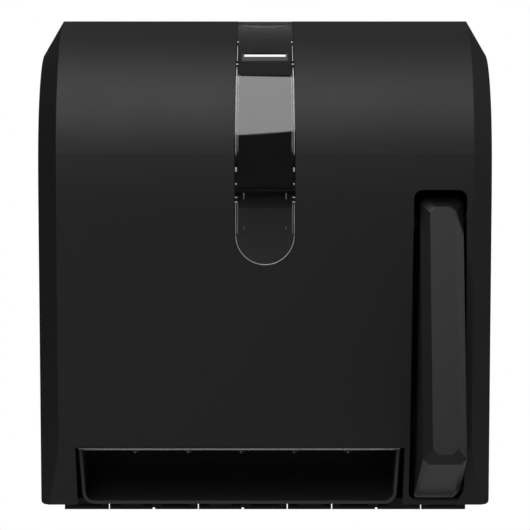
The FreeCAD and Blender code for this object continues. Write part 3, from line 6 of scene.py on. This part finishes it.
import bpy
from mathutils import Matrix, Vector


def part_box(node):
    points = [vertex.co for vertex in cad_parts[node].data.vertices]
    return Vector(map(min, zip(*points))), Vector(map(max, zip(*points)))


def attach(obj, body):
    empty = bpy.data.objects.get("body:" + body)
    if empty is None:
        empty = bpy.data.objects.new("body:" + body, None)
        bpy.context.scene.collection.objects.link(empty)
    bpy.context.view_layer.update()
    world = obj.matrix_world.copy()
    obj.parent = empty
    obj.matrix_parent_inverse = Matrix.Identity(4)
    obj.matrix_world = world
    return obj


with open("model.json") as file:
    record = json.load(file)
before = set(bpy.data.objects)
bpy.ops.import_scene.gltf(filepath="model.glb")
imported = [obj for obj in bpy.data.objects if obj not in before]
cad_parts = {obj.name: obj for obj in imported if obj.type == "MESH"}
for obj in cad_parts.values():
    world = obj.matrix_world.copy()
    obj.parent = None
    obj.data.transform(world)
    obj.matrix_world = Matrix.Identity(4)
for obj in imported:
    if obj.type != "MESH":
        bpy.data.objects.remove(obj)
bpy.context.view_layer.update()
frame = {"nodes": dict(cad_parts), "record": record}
NODES = frame["nodes"]

MM = 0.001


# Casing outline, repeated from the frame's sizes for the trim that lies on it

CASE_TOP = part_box("cover_shell")[1][2]
CASE_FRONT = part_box("cover_shell")[0][1]
ARCH_RADIUS = -CASE_FRONT / 2
ARCH_Z = CASE_TOP - ARCH_RADIUS
BROW_RADIUS = 280 * MM
FRONT_LEAN = math.radians(8)
PROFILE_END = ARCH_RADIUS + CASE_TOP * 3
HALVINGS = 40


def skin_point(across, along, proud=0.0):
    """A point on the cover's middle profile at a length down from the crown's rear, with its normal."""
    run = along - ARCH_RADIUS
    if run < 0:
        normal = Vector((0, 0, 1))
        point = Vector((across, -along, CASE_TOP))
        return point + normal * proud, normal
    quarter = ARCH_RADIUS * math.pi / 2
    if run < quarter:
        turn = run / ARCH_RADIUS
        normal = Vector((0, -math.sin(turn), math.cos(turn)))
        point = Vector((across, -ARCH_RADIUS, ARCH_Z)) + normal * ARCH_RADIUS
        return point + normal * proud, normal
    run -= quarter
    centre_y = CASE_FRONT + BROW_RADIUS
    turn = min(run / BROW_RADIUS, FRONT_LEAN)
    normal = Vector((0, -math.cos(turn), -math.sin(turn)))
    point = Vector((across, centre_y, ARCH_Z)) + normal * BROW_RADIUS
    rest = run - BROW_RADIUS * turn
    if rest > 0:
        point += Vector((0, math.sin(turn), -math.cos(turn))) * rest
    return point + normal * proud, normal


def skin_length(height):
    """Length down the middle profile at which the front reaches a height."""
    low = ARCH_RADIUS
    high = PROFILE_END
    for _ in range(HALVINGS):
        middle = (low + high) / 2
        if skin_point(0, middle)[0].z > height:
            low = middle
        else:
            high = middle
    return low


# Materials: scales count features per metre, depths and edges are in metres

DRIFT_SCALE = 18
DRIFT_DARK = 0.93
DRIFT_LIGHT = 1.07
POLISH_DRIFT = 0.02
GRAIN_SCALE = 2600
GRAIN_BUMP = 0.35
GRAIN_DEPTH = 0.00004
MOULD_EDGE = 0.0006
EDGE_SAMPLES = 4
STREAK_SCALE = 6
STREAK_DETAIL = 4
STREAK_DARK = 0.85
STREAK_BUMP = 0.2
STREAK_DEPTH = 0.00003
METAL_EDGE = 0.0003
METAL_SMOOTHER = 0.06
METAL_ROUGHER = 0.08
DUST_SCALE = 140
DUST_LIGHT = 1.5
RUBBER_SCALE = 1800
RUBBER_BUMP = 0.5
RUBBER_DEPTH = 0.00008
RUBBER_EDGE = 0.0005
SCUFF_SCALE = 260
# Scale of the painted glints on the window's rim
PAINTED_GLINT_SCALE = 300


def shader(name):
    """A new node material with its tree and its main shader."""
    material = bpy.data.materials.new(name)
    material.use_nodes = True
    tree = material.node_tree
    return material, tree, tree.nodes["Principled BSDF"]


def noise(tree, scale, detail=3.0, roughness=0.6):
    """A noise texture in object space, in features per metre."""
    place = tree.nodes.new("ShaderNodeTexCoord")
    texture = tree.nodes.new("ShaderNodeTexNoise")
    texture.inputs["Scale"].default_value = scale
    texture.inputs["Detail"].default_value = detail
    texture.inputs["Roughness"].default_value = roughness
    tree.links.new(place.outputs["Object"], texture.inputs["Vector"])
    return texture


def ramp(tree, source, low, high):
    """Map a texture's middle range onto two values."""
    spread = tree.nodes.new("ShaderNodeMapRange")
    spread.inputs["From Min"].default_value = 0.3
    spread.inputs["From Max"].default_value = 0.7
    spread.inputs["To Min"].default_value = low
    spread.inputs["To Max"].default_value = high
    tree.links.new(source, spread.inputs["Value"])
    return spread.outputs["Result"]


def tinted(tree, source, dark, light):
    """Mix two colours by a texture."""
    mix = tree.nodes.new("ShaderNodeMix")
    mix.data_type = "RGBA"
    mix.inputs["A"].default_value = (*dark, 1)
    mix.inputs["B"].default_value = (*light, 1)
    tree.links.new(source, mix.inputs["Factor"])
    return mix.outputs["Result"]


def bumped(tree, height, strength, depth, edge):
    """A fine bump over softened edges."""
    soft = tree.nodes.new("ShaderNodeBevel")
    soft.samples = EDGE_SAMPLES
    soft.inputs["Radius"].default_value = edge
    bump = tree.nodes.new("ShaderNodeBump")
    bump.inputs["Strength"].default_value = strength
    bump.inputs["Distance"].default_value = depth
    tree.links.new(height, bump.inputs["Height"])
    tree.links.new(soft.outputs["Normal"], bump.inputs["Normal"])
    return bump.outputs["Normal"]


def moulded(name, shade, roughness, specular=0.5):
    """Moulded plastic with fine spark grain, faint shade drift and softened edges."""
    material, tree, main = shader(name)
    drift = noise(tree, DRIFT_SCALE, 2.0).outputs["Fac"]
    dark = tuple(value * DRIFT_DARK for value in shade)
    light = tuple(value * DRIFT_LIGHT for value in shade)
    tree.links.new(tinted(tree, drift, dark, light), main.inputs["Base Color"])
    fine = noise(tree, GRAIN_SCALE, 2.0).outputs["Fac"]
    polish = ramp(tree, drift, roughness - POLISH_DRIFT, roughness + POLISH_DRIFT)
    tree.links.new(polish, main.inputs["Roughness"])
    grain = bumped(tree, fine, GRAIN_BUMP, GRAIN_DEPTH, MOULD_EDGE)
    tree.links.new(grain, main.inputs["Normal"])
    main.inputs["Specular IOR Level"].default_value = specular
    return material


def metal(name, shade, roughness, grain, painted=False):
    """Drawn or brushed metal with fine streaks."""
    material, tree, main = shader(name)
    place = tree.nodes.new("ShaderNodeTexCoord")
    stretch = tree.nodes.new("ShaderNodeMapping")
    stretch.inputs["Scale"].default_value = grain
    streak = tree.nodes.new("ShaderNodeTexNoise")
    streak.inputs["Scale"].default_value = STREAK_SCALE
    streak.inputs["Detail"].default_value = STREAK_DETAIL
    tree.links.new(place.outputs["Object"], stretch.inputs["Vector"])
    tree.links.new(stretch.outputs["Vector"], streak.inputs["Vector"])
    lines = streak.outputs["Fac"]
    dark = tuple(value * STREAK_DARK for value in shade)
    tree.links.new(tinted(tree, lines, dark, shade), main.inputs["Base Color"])
    polish = ramp(tree, lines, roughness - METAL_SMOOTHER, roughness + METAL_ROUGHER)
    tree.links.new(polish, main.inputs["Roughness"])
    brushed = bumped(tree, lines, STREAK_BUMP, STREAK_DEPTH, METAL_EDGE)
    tree.links.new(brushed, main.inputs["Normal"])
    main.inputs["Metallic"].default_value = 0.0 if painted else 1.0
    return material


def rubber(name, shade):
    """Moulded rubber with a powdery surface."""
    material, tree, main = shader(name)
    dust = noise(tree, DUST_SCALE, 4.0).outputs["Fac"]
    light = tuple(value * DUST_LIGHT for value in shade)
    tree.links.new(tinted(tree, dust, shade, light), main.inputs["Base Color"])
    fine = noise(tree, RUBBER_SCALE, 3.0).outputs["Fac"]
    powder = bumped(tree, fine, RUBBER_BUMP, RUBBER_DEPTH, RUBBER_EDGE)
    tree.links.new(powder, main.inputs["Normal"])
    main.inputs["Roughness"].default_value = 0.75
    return material


def smoked(name):
    """Polished clear smoke plastic: see-through, with sharp reflections and faint hair scratches."""
    material, tree, main = shader(name)
    scuff = noise(tree, SCUFF_SCALE, 5.0).outputs["Fac"]
    tree.links.new(ramp(tree, scuff, 0.02, 0.05), main.inputs["Roughness"])
    main.inputs["Base Color"].default_value = (0.08, 0.08, 0.084, 1)
    main.inputs["Transmission Weight"].default_value = 1.0
    main.inputs["IOR"].default_value = 1.69
    main.inputs["Specular IOR Level"].default_value = 1.0
    return material


def painted_highlight_edge(name):
    """The polished rim of clear plastic, coloured pale grey as a painted highlight and mottled by noise into
    painted glints.
    """
    material, tree, main = shader(name)
    painted_glint = noise(tree, PAINTED_GLINT_SCALE, 2.0).outputs["Fac"]
    # Painted highlight: the rim's colour runs from dark to pale grey by noise
    colour = tinted(tree, painted_glint, (0.16, 0.16, 0.165), (0.52, 0.52, 0.53))
    tree.links.new(colour, main.inputs["Base Color"])
    tree.links.new(ramp(tree, painted_glint, 0.12, 0.22), main.inputs["Roughness"])
    main.inputs["Coat Weight"].default_value = 0.6
    return material


LOOKS = {
    "casing": moulded("casing_plastic", (0.0020, 0.0020, 0.0021), 0.57, specular=0.41),
    "lever": moulded("lever_plastic", (0.0080, 0.0080, 0.0082), 0.42, specular=0.31),
    "chassis": moulded("chassis_plastic", (0.0200, 0.0200, 0.0204), 0.5),
    "grey_plastic": moulded("grey_plastic", (0.10, 0.105, 0.11), 0.5),
    "white_plastic": moulded("white_plastic", (0.62, 0.62, 0.59), 0.42),
    "steel": metal("drawn_steel", (0.55, 0.56, 0.57), 0.28, (40, 900, 900)),
    "blade": metal("brushed_blade", (0.62, 0.63, 0.64), 0.3, (60, 900, 900)),
    "plated": metal("black_plated", (0.03, 0.03, 0.032), 0.4, (900, 60, 60), painted=True),
    "grip": rubber("grip_rubber", (0.02, 0.02, 0.02)),
    "spring": metal("spring_wire", (0.5, 0.5, 0.51), 0.3, (300, 300, 300)),
    "window": smoked("window_smoke"),
    # Pale grey painted highlight for the window's rim beads and pale snap marks
    "painted_highlight_edge": painted_highlight_edge("painted_highlight_edge"),
    # Near-black, dull plastic laid in gaps and on the key slot's walls as painted shade
    "painted_gap_shade": moulded("painted_gap_shade", (0.0012, 0.0012, 0.0012), 0.7, specular=0.1),
    "screw_steel": metal("screw_steel", (0.42, 0.42, 0.44), 0.34, (500, 500, 500)),
}


def dress_nodes():
    """Give every carried-over node the look of its material slot."""
    slots = {part["node"]: part["material_slot"] for part in frame["record"]["subparts"]}
    for name, obj in NODES.items():
        look = LOOKS[slots[name]]
        if not obj.material_slots:
            obj.data.materials.append(look)
        for slot in obj.material_slots:
            slot.material = look


# Mesh pieces

SHARP_TURN = math.radians(40)
BEAD_SIDES = 8
BEAD_END = 0.45
CHIP_SUNK = 0.3 * MM
CHIP_WALL = 0.6
CHIP_BEVEL = 0.5
CHIP_CUT = 0.4


def built(name, points, faces, look, body):
    """A smooth mesh piece with its look, riding on a body."""
    mesh = bpy.data.meshes.new(name)
    mesh.from_pydata([tuple(point) for point in points], [], faces)
    for polygon in mesh.polygons:
        polygon.use_smooth = True
    mesh.set_sharp_from_angle(angle=SHARP_TURN)
    mesh.materials.append(LOOKS[look])
    piece = bpy.data.objects.new(name, mesh)
    bpy.context.collection.objects.link(piece)
    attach(piece, body)
    return piece


def skinned(rings, caps=True):
    """Faces that join equal rings of points one after another."""
    count = len(rings[0])
    points = [point for ring in rings for point in ring]
    faces = []
    for step in range(len(rings) - 1):
        base = step * count
        for index in range(count):
            after = (index + 1) % count
            faces.append((base + index, base + after, base + count + after, base + count + index))
    if caps:
        last = (len(rings) - 1) * count
        faces.append(tuple(reversed(range(count))))
        faces.append(tuple(range(last, last + count)))
    return points, faces


def bead(name, path, radius, look, body):
    """A thin round bead along a path of points with the normals of what it lies on."""
    rings = []
    for index, (point, normal) in enumerate(path):
        before = path[max(index - 1, 0)][0]
        after = path[min(index + 1, len(path) - 1)][0]
        run = (after - before).normalized()
        side = run.cross(normal).normalized()
        up = side.cross(run).normalized()
        end = BEAD_END if index in (0, len(path) - 1) else 1.0
        ring = []
        for corner in range(BEAD_SIDES):
            turn = 2 * math.pi * corner / BEAD_SIDES
            ring.append(point + (side * math.cos(turn) + up * math.sin(turn)) * radius * end)
        rings.append(ring)
    points, faces = skinned(rings)
    return built(name, points, faces, look, body)


def chip(name, across, height, width, tall, thick, look, body):
    """A thin plate with cut corners and a bevelled face that lies on the cover's skin."""
    along = skin_length(height)
    rings = []
    for inset, proud in ((0.0, -CHIP_SUNK), (0.0, thick * CHIP_WALL), (thick * CHIP_BEVEL, thick)):
        half_x = width / 2 - inset
        half_z = tall / 2 - inset
        cut = min(half_x, half_z) * CHIP_CUT
        outline = [
            (-half_x + cut, -half_z), (half_x - cut, -half_z),
            (half_x, -half_z + cut), (half_x, half_z - cut),
            (half_x - cut, half_z), (-half_x + cut, half_z),
            (-half_x, half_z - cut), (-half_x, -half_z + cut),
        ]
        rings.append([skin_point(across + x, along - z, proud)[0] for x, z in outline])
    points, faces = skinned(rings)
    return built(name, points, faces, look, body)


# Window's edge, repeated from the frame's sizes

WINDOW_FOOT_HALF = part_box("window")[1][0]
WINDOW_MID = 97 * MM
WINDOW_HIGH = 161 * MM
WINDOW_MID_HALF = 20.9 * MM
WINDOW_TOP_HALF = 19.7 * MM
WINDOW_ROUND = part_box("window")[0][2] + WINDOW_FOOT_HALF

# Straight lines of painted highlight in mm: name, upper end, lower end, inset from the edge, radius, steps
RIMS = (
    ("window_rim_upper", 160.3, 148.2, 0.95, 0.32, 10),
    ("window_rim", 143.5, 79, 0.75, 0.34, 24),
    ("window_step", 138, 81, 2.2, 0.16, 24),
    ("window_rim_low", 44.5, 22, 0.6, 0.24, 12),
    ("window_step_low", 44.5, 22, 2.0, 0.12, 12),
)

# Snap marks in mm: name, height, inset from the edge, width, tallness, look; the pale chips are painted
# highlight and the dark chips are painted shade in the gaps
MARKS = (
    ("snap_top", 163.3, 1.1, 1.5, 1.5, "painted_highlight_edge"),
    ("snap_shoulder", 145.9, 0.9, 1.6, 1.3, "painted_highlight_edge"),
    ("snap_gap_upper", 147.3, 0.9, 1.8, 0.9, "painted_gap_shade"),
    ("snap_gap", 74.6, 0.9, 2.2, 5.0, "painted_gap_shade"),
    ("snap_hook", 68.6, 0.9, 1.2, 3.2, "painted_highlight_edge"),
    ("snap_slot", 63.6, 1.2, 1.8, 5.6, "painted_gap_shade"),
    ("snap_dot", 58.2, 0.9, 1.1, 1.2, "painted_highlight_edge"),
    ("snap_bracket_high", 48.6, 0.9, 2.0, 0.8, "painted_highlight_edge"),
    ("snap_bracket_low", 45.2, 0.9, 2.0, 0.8, "painted_highlight_edge"),
)
MARK_THICK = 0.18 * MM

# Faint inlays in mm: name, height, tallness
INLAYS = (("inlay_upper", 49.4, 4.8), ("inlay_lower", 26.6, 2.6))
INLAY_ACROSS = 15.2 * MM
INLAY_WIDTH = 0.7 * MM
INLAY_THICK = 0.1 * MM

FOOT_INSET = 0.6 * MM
FOOT_RADIUS = 0.28 * MM
FOOT_STEPS = 36

# Line across the window's brow, the window's top edge in a pale grey that is painted highlight: numbers that
# end in _MM are in mm
BROW_HALF_MM = 16.6
BROW_HIGH_MM = 177.6
BROW_SAG_MM = 1.9
BROW_BEAD = 0.4 * MM
BROW_STEPS = 24


def window_half(height):
    """Half width of the window at a height."""
    if height <= WINDOW_MID:
        return WINDOW_FOOT_HALF
    if height <= WINDOW_HIGH:
        share = (height - WINDOW_MID) / (WINDOW_HIGH - WINDOW_MID)
        return WINDOW_FOOT_HALF + (WINDOW_MID_HALF - WINDOW_FOOT_HALF) * share
    share = (height - WINDOW_HIGH) / (CASE_TOP - WINDOW_HIGH)
    return WINDOW_MID_HALF + (WINDOW_TOP_HALF - WINDOW_MID_HALF) * share


def rim_path(sign, high, low, inset, steps):
    """Points on the skin down one side of the window."""
    path = []
    for step in range(steps + 1):
        height = high + (low - high) * step / steps
        across = sign * (window_half(height) - inset)
        path.append(skin_point(across, skin_length(height)))
    return path


def foot_path():
    """Points on the skin round the window's foot."""
    path = []
    radius = WINDOW_FOOT_HALF - FOOT_INSET
    for step in range(FOOT_STEPS + 1):
        turn = math.pi * step / FOOT_STEPS
        height = WINDOW_ROUND - radius * math.sin(turn)
        path.append(skin_point(-radius * math.cos(turn), skin_length(height)))
    return path


def brow_path():
    """Points on the skin across the window's brow, lowest in the middle."""
    path = []
    for step in range(BROW_STEPS + 1):
        across = (-BROW_HALF_MM + 2 * BROW_HALF_MM * step / BROW_STEPS) * MM
        sag = BROW_SAG_MM * math.cos(across / (BROW_HALF_MM * MM) * math.pi / 2)
        path.append(skin_point(across, skin_length((BROW_HIGH_MM - sag) * MM)))
    return path


def window_trim():
    """The window's rim as beads of painted highlight, its snap marks as chips of painted highlight and
    painted shade, and a line across its brow in a pale grey that is partly painted highlight.
    """
    for sign, side in ((-1, "left"), (1, "right")):
        for label, high, low, inset, radius, steps in RIMS:
            path = rim_path(sign, high * MM, low * MM, inset * MM, steps)
            # Each rim line is a bead coloured as painted highlight
            bead(f"{label}_{side}", path, radius * MM, "painted_highlight_edge", "cover")
        for label, height, inset, width, tall, look in MARKS:
            middle = sign * (window_half(height * MM) - inset * MM)
            chip(f"{label}_{side}", middle, height * MM, width * MM, tall * MM, MARK_THICK,
                 look, "cover")
        for label, height, tall in INLAYS:
            chip(f"{label}_{side}", sign * INLAY_ACROSS, height * MM, INLAY_WIDTH, tall * MM, INLAY_THICK,
                 "grey_plastic", "cover")
    bead("window_rim_foot", foot_path(), FOOT_RADIUS, "painted_highlight_edge", "cover")
    # The brow's bead is the window's top edge, coloured pale grey as painted highlight
    bead("window_brow_painted_highlight", brow_path(), BROW_BEAD, "grey_plastic", "cover")


# Key slot's liner of painted shade

KEY_HALF = 15.4 * MM
KEY_LOW = CASE_TOP - 31.7 * MM
KEY_HIGH = CASE_TOP - 29.1 * MM
KEY_WALL = 0.3 * MM
KEY_DEEP = 2.6 * MM


def arch_depth(height, inset):
    """Place along Y of the arch's front at a height, a given depth below its skin."""
    rise = height - ARCH_Z
    radius = ARCH_RADIUS - inset
    return -ARCH_RADIUS - math.sqrt(radius * radius - rise * rise)


def key_liner():
    """The dark liner of the key slot through the window: painted shade on the slot's walls."""
    rings = []
    for inset, sunk in ((0.0, 0.0), (0.0, KEY_DEEP), (KEY_WALL, KEY_DEEP), (KEY_WALL, 0.0)):
        corners = (
            (-KEY_HALF + inset, KEY_LOW + inset), (KEY_HALF - inset, KEY_LOW + inset),
            (KEY_HALF - inset, KEY_HIGH - inset), (-KEY_HALF + inset, KEY_HIGH - inset),
        )
        rings.append([Vector((x, arch_depth(z, sunk), z)) for x, z in corners])
    points, faces = skinned(rings, caps=False)
    count = len(rings[0])
    last = (len(rings) - 1) * count
    for index in range(count):
        after = (index + 1) % count
        faces.append((last + index, last + after, after, index))
    # The liner's near-black colour is painted shade inside the slot
    built("key_slot_liner", points, faces, "painted_gap_shade", "cover")


# Outlet: numbers in mm

EDGE_LEFT = -136
EDGE_WIDE = 234.5
EDGE_Y = -173.9
EDGE_Z = -133.95
EDGE_RADIUS = 0.62
EDGE_STEPS = 12
HOOKS = (-94.8, -56.1, -17.5, 21.1, 60.5)
HOOK_TOP = -135.0
HOOK_TALL = 2.3
HOOK_Y = -172.6
HOOK_LEAN = 0.35
HOOK_RADIUS = 0.7
HOOK_STEPS = 4
FRONTWARD = Vector((0, -1, 0))


def outlet_trim():
    """The rolled edge of the tear bar and the tips of the hooks that hold it."""
    edge = []
    for step in range(EDGE_STEPS + 1):
        across = (EDGE_LEFT + EDGE_WIDE * step / EDGE_STEPS) * MM
        edge.append((Vector((across, EDGE_Y * MM, EDGE_Z * MM)), FRONTWARD))
    bead("tear_bar_edge", edge, EDGE_RADIUS * MM, "blade", "chassis")
    for index, across in enumerate(HOOKS, start=1):
        tip = []
        for step in range(HOOK_STEPS + 1):
            level = HOOK_TOP - HOOK_TALL * step / HOOK_STEPS
            depth = HOOK_Y + HOOK_LEAN * step / HOOK_STEPS
            tip.append((Vector((across * MM, depth * MM, level * MM)), FRONTWARD))
        # The hook tips are grey, lighter than the black chassis they belong to: painted highlight on their
        # rounded fronts
        bead(f"tear_bar_hook_tip_{index}", tip, HOOK_RADIUS * MM, "grey_plastic", "chassis")


# Fasteners

SCREW_SIDES = 24
SCREW_RADIUS = 3.2 * MM
# Head's profile in shares of the radius: distance from the axis, rise
SCREW_HEAD = ((1.0, 0.0), (1.0, 0.28), (0.92, 0.5), (0.72, 0.62), (0.5, 0.64))
SOCKET_REACH = 0.36
SOCKET_LEVELS = (0.64, 0.22)
SOCKET_SIDE = math.pi / 3
FLANGE_FRONT = -6 * MM
# Screws of the right frame, the left frame and the lever's bracket, in mm: across, level
FLANGE_SCREWS = (
    (104.5, -118), (104.5, -10), (104.5, 42),
    (-142.7, -122), (-142.7, -79),
    (140.5, 14), (140.5, 52),
)
CLIP_STEPS = 28
CLIP_MOUTH = math.radians(64)
CLIP_LOBE = 0.35
CLIP_LOBES = 3


def head_ring(place, radius, rise, reach):
    """A ring of a screw's head at a rise, with the reach for each turn in shares of the radius."""
    ring = []
    for index in range(SCREW_SIDES):
        turn = 2 * math.pi * index / SCREW_SIDES
        share = reach(turn)
        ring.append(Vector((
            place[0] + radius * share * math.cos(turn),
            place[1] - radius * rise,
            place[2] + radius * share * math.sin(turn),
        )))
    return ring


def socket_reach(turn):
    """Reach of the hexagonal socket's wall at a turn."""
    within = (turn % SOCKET_SIDE) - SOCKET_SIDE / 2
    return SOCKET_REACH * math.cos(SOCKET_SIDE / 2) / math.cos(within)


def screw(name, place, radius, body):
    """A pan head screw with a hexagonal socket, its head towards the front."""
    rings = [head_ring(place, radius, rise, lambda turn, share=share: share) for share, rise in SCREW_HEAD]
    rings += [head_ring(place, radius, rise, socket_reach) for rise in SOCKET_LEVELS]
    points, faces = skinned(rings)
    return built(name, points, faces, "screw_steel", body)


def circlip(name, place, inner, outer, thick, body):
    """A sprung clip in an open ring round a shaft along X."""
    rings = []
    for step in range(CLIP_STEPS + 1):
        turn = CLIP_MOUTH / 2 + (2 * math.pi - CLIP_MOUTH) * step / CLIP_STEPS - math.pi / 2
        lobe = CLIP_LOBE * (outer - inner) * max(0.0, math.cos(CLIP_LOBES * (turn + math.pi / 2)))
        rim = outer + lobe
        ring = []
        for reach, across in ((inner, 0), (rim, 0), (rim, thick), (inner, thick)):
            ring.append(Vector((
                place[0] + across,
                place[1] + reach * math.cos(turn),
                place[2] + reach * math.sin(turn),
            )))
        rings.append(ring)
    points, faces = skinned(rings)
    return built(name, points, faces, "screw_steel", body)


def shaft_line(node):
    """Left end, right end and middle of a shaft along X."""
    low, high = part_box(node)
    return low[0], high[0], (low[1] + high[1]) / 2, (low[2] + high[2]) / 2


def fasteners():
    """Screws of the frames' flanges and clips on the shafts."""
    for index, (across, level) in enumerate(FLANGE_SCREWS, start=1):
        screw(f"flange_screw_{index}", (across * MM, FLANGE_FRONT, level * MM), SCREW_RADIUS, "chassis")
    left, right, y, z = shaft_line("lever_pivot_pin")
    circlip("pivot_clip_outer", (right - 1.6 * MM, y, z), 4 * MM, 6.2 * MM, 0.8 * MM, "chassis")
    circlip("pivot_clip_inner", (left + 0.6 * MM, y, z), 4 * MM, 6.2 * MM, 0.8 * MM, "chassis")
    left, right, y, z = shaft_line("feed_shaft")
    circlip("feed_clip", (right - 0.55 * MM, y, z), 3 * MM, 4.8 * MM, 0.5 * MM, "feed_roller")


# Stage, light and camera, in metres

CAMERA_BACK = 2.2
LENS_PX = 3061
FRAME_PX = 530
SENSOR = 36
FLOOR_Z = -0.62
FLOOR_HALF = 1.8
FLOOR_NEAR = -3.6
FLOOR_FAR = 1.6
# How directly behind the object a mirrored ray has to point to see the backdrop
BACKDROP_START = 0.96
BACKDROP_FULL = 0.995
ROOM_LIGHT = 0.03


def floor_stage():
    """A plain floor well below the object."""
    corners = [
        (-FLOOR_HALF, FLOOR_NEAR, FLOOR_Z), (FLOOR_HALF, FLOOR_NEAR, FLOOR_Z),
        (FLOOR_HALF, FLOOR_FAR, FLOOR_Z), (-FLOOR_HALF, FLOOR_FAR, FLOOR_Z),
    ]
    mesh = bpy.data.meshes.new("floor")
    mesh.from_pydata(corners, [], [(0, 1, 2, 3)])
    floor = bpy.data.objects.new("floor", mesh)
    bpy.context.collection.objects.link(floor)
    material, tree, main = shader("floor_paint")
    grain = noise(tree, 30, 3.0).outputs["Fac"]
    colour = tinted(tree, grain, (0.52, 0.52, 0.52), (0.56, 0.56, 0.56))
    tree.links.new(colour, main.inputs["Base Color"])
    main.inputs["Roughness"].default_value = 0.8
    mesh.materials.append(material)


def combined(tree, operation, first, second):
    """A math node over two values."""
    node = tree.nodes.new("ShaderNodeMath")
    node.operation = operation
    tree.links.new(first, node.inputs[0])
    tree.links.new(second, node.inputs[1])
    return node.outputs[0]


def studio_world():
    """A world that is white to the camera, through clear plastic and in mirrors that face straight back."""
    world = bpy.data.worlds.new("studio")
    bpy.context.scene.world = world
    world.use_nodes = True
    tree = world.node_tree
    tree.nodes.clear()
    path = tree.nodes.new("ShaderNodeLightPath")
    seen = combined(tree, "MAXIMUM", path.outputs["Is Camera Ray"], path.outputs["Is Transmission Ray"])
    way = tree.nodes.new("ShaderNodeTexCoord")
    parts = tree.nodes.new("ShaderNodeSeparateXYZ")
    tree.links.new(way.outputs["Generated"], parts.inputs[0])
    backdrop = tree.nodes.new("ShaderNodeMapRange")
    backdrop.inputs["From Min"].default_value = BACKDROP_START
    backdrop.inputs["From Max"].default_value = BACKDROP_FULL
    tree.links.new(parts.outputs["Y"], backdrop.inputs["Value"])
    mirrored = combined(tree, "MULTIPLY", path.outputs["Is Glossy Ray"], backdrop.outputs["Result"])
    white = combined(tree, "MAXIMUM", seen, mirrored)
    strength = tree.nodes.new("ShaderNodeMapRange")
    strength.inputs["To Min"].default_value = ROOM_LIGHT
    strength.inputs["To Max"].default_value = 1.0
    tree.links.new(white, strength.inputs["Value"])
    sky = tree.nodes.new("ShaderNodeBackground")
    sky.inputs["Color"].default_value = (1, 1, 1, 1)
    tree.links.new(strength.outputs["Result"], sky.inputs["Strength"])
    out = tree.nodes.new("ShaderNodeOutputWorld")
    tree.links.new(sky.outputs[0], out.inputs["Surface"])


def softbox(name, place, azimuth, elevation, size, power, roll=0.0):
    """A rectangular light at a place, turned to an azimuth and an elevation in degrees."""
    light = bpy.data.lights.new(name, "AREA")
    light.shape = "RECTANGLE"
    light.size = size[0]
    light.size_y = size[1]
    light.energy = power
    lamp = bpy.data.objects.new(name, light)
    turn = math.radians(azimuth)
    rise = math.radians(elevation)
    away = Vector((math.sin(turn) * math.cos(rise), -math.cos(turn) * math.cos(rise), math.sin(rise)))
    lamp.location = place
    aim = (-away).to_track_quat("-Z", "Y")
    lamp.rotation_euler = aim.to_euler()
    lamp.rotation_euler.rotate_axis("Z", math.radians(roll))
    bpy.context.collection.objects.link(lamp)
    return lamp


def lights():
    """A large rolled softbox up in front, a tall one at the right, a small one at the left, one overhead."""
    softbox("key_box", (-0.685, -1.55, 1.56), 0, 44, (2.22, 2.27), 54, roll=58)
    softbox("right_box", (1.93, -0.48, 1.34), 76, 34, (0.8, 2.2), 29)
    softbox("left_box", (-1.2, -0.41, 1.8), -71, 55, (0.9, 0.9), 7)
    softbox("top_box", (0, 0.85, 2.2), 0, 98, (2.4, 3.65), 4.5)


def camera():
    """The camera at the photograph's place: level with the object's middle, square to its front."""
    data = bpy.data.cameras.new("camera")
    data.sensor_width = SENSOR
    data.lens = LENS_PX * SENSOR / FRAME_PX
    data.clip_end = 20
    eye = bpy.data.objects.new("camera", data)
    eye.location = (0, CASE_FRONT - CAMERA_BACK, 0)
    eye.rotation_euler = (math.pi / 2, 0, 0)
    bpy.context.collection.objects.link(eye)
    bpy.context.scene.camera = eye


dress_nodes()
window_trim()
key_liner()
outlet_trim()
fasteners()
floor_stage()
studio_world()
lights()
camera()
bpy.context.scene.view_settings.view_transform = "Standard"
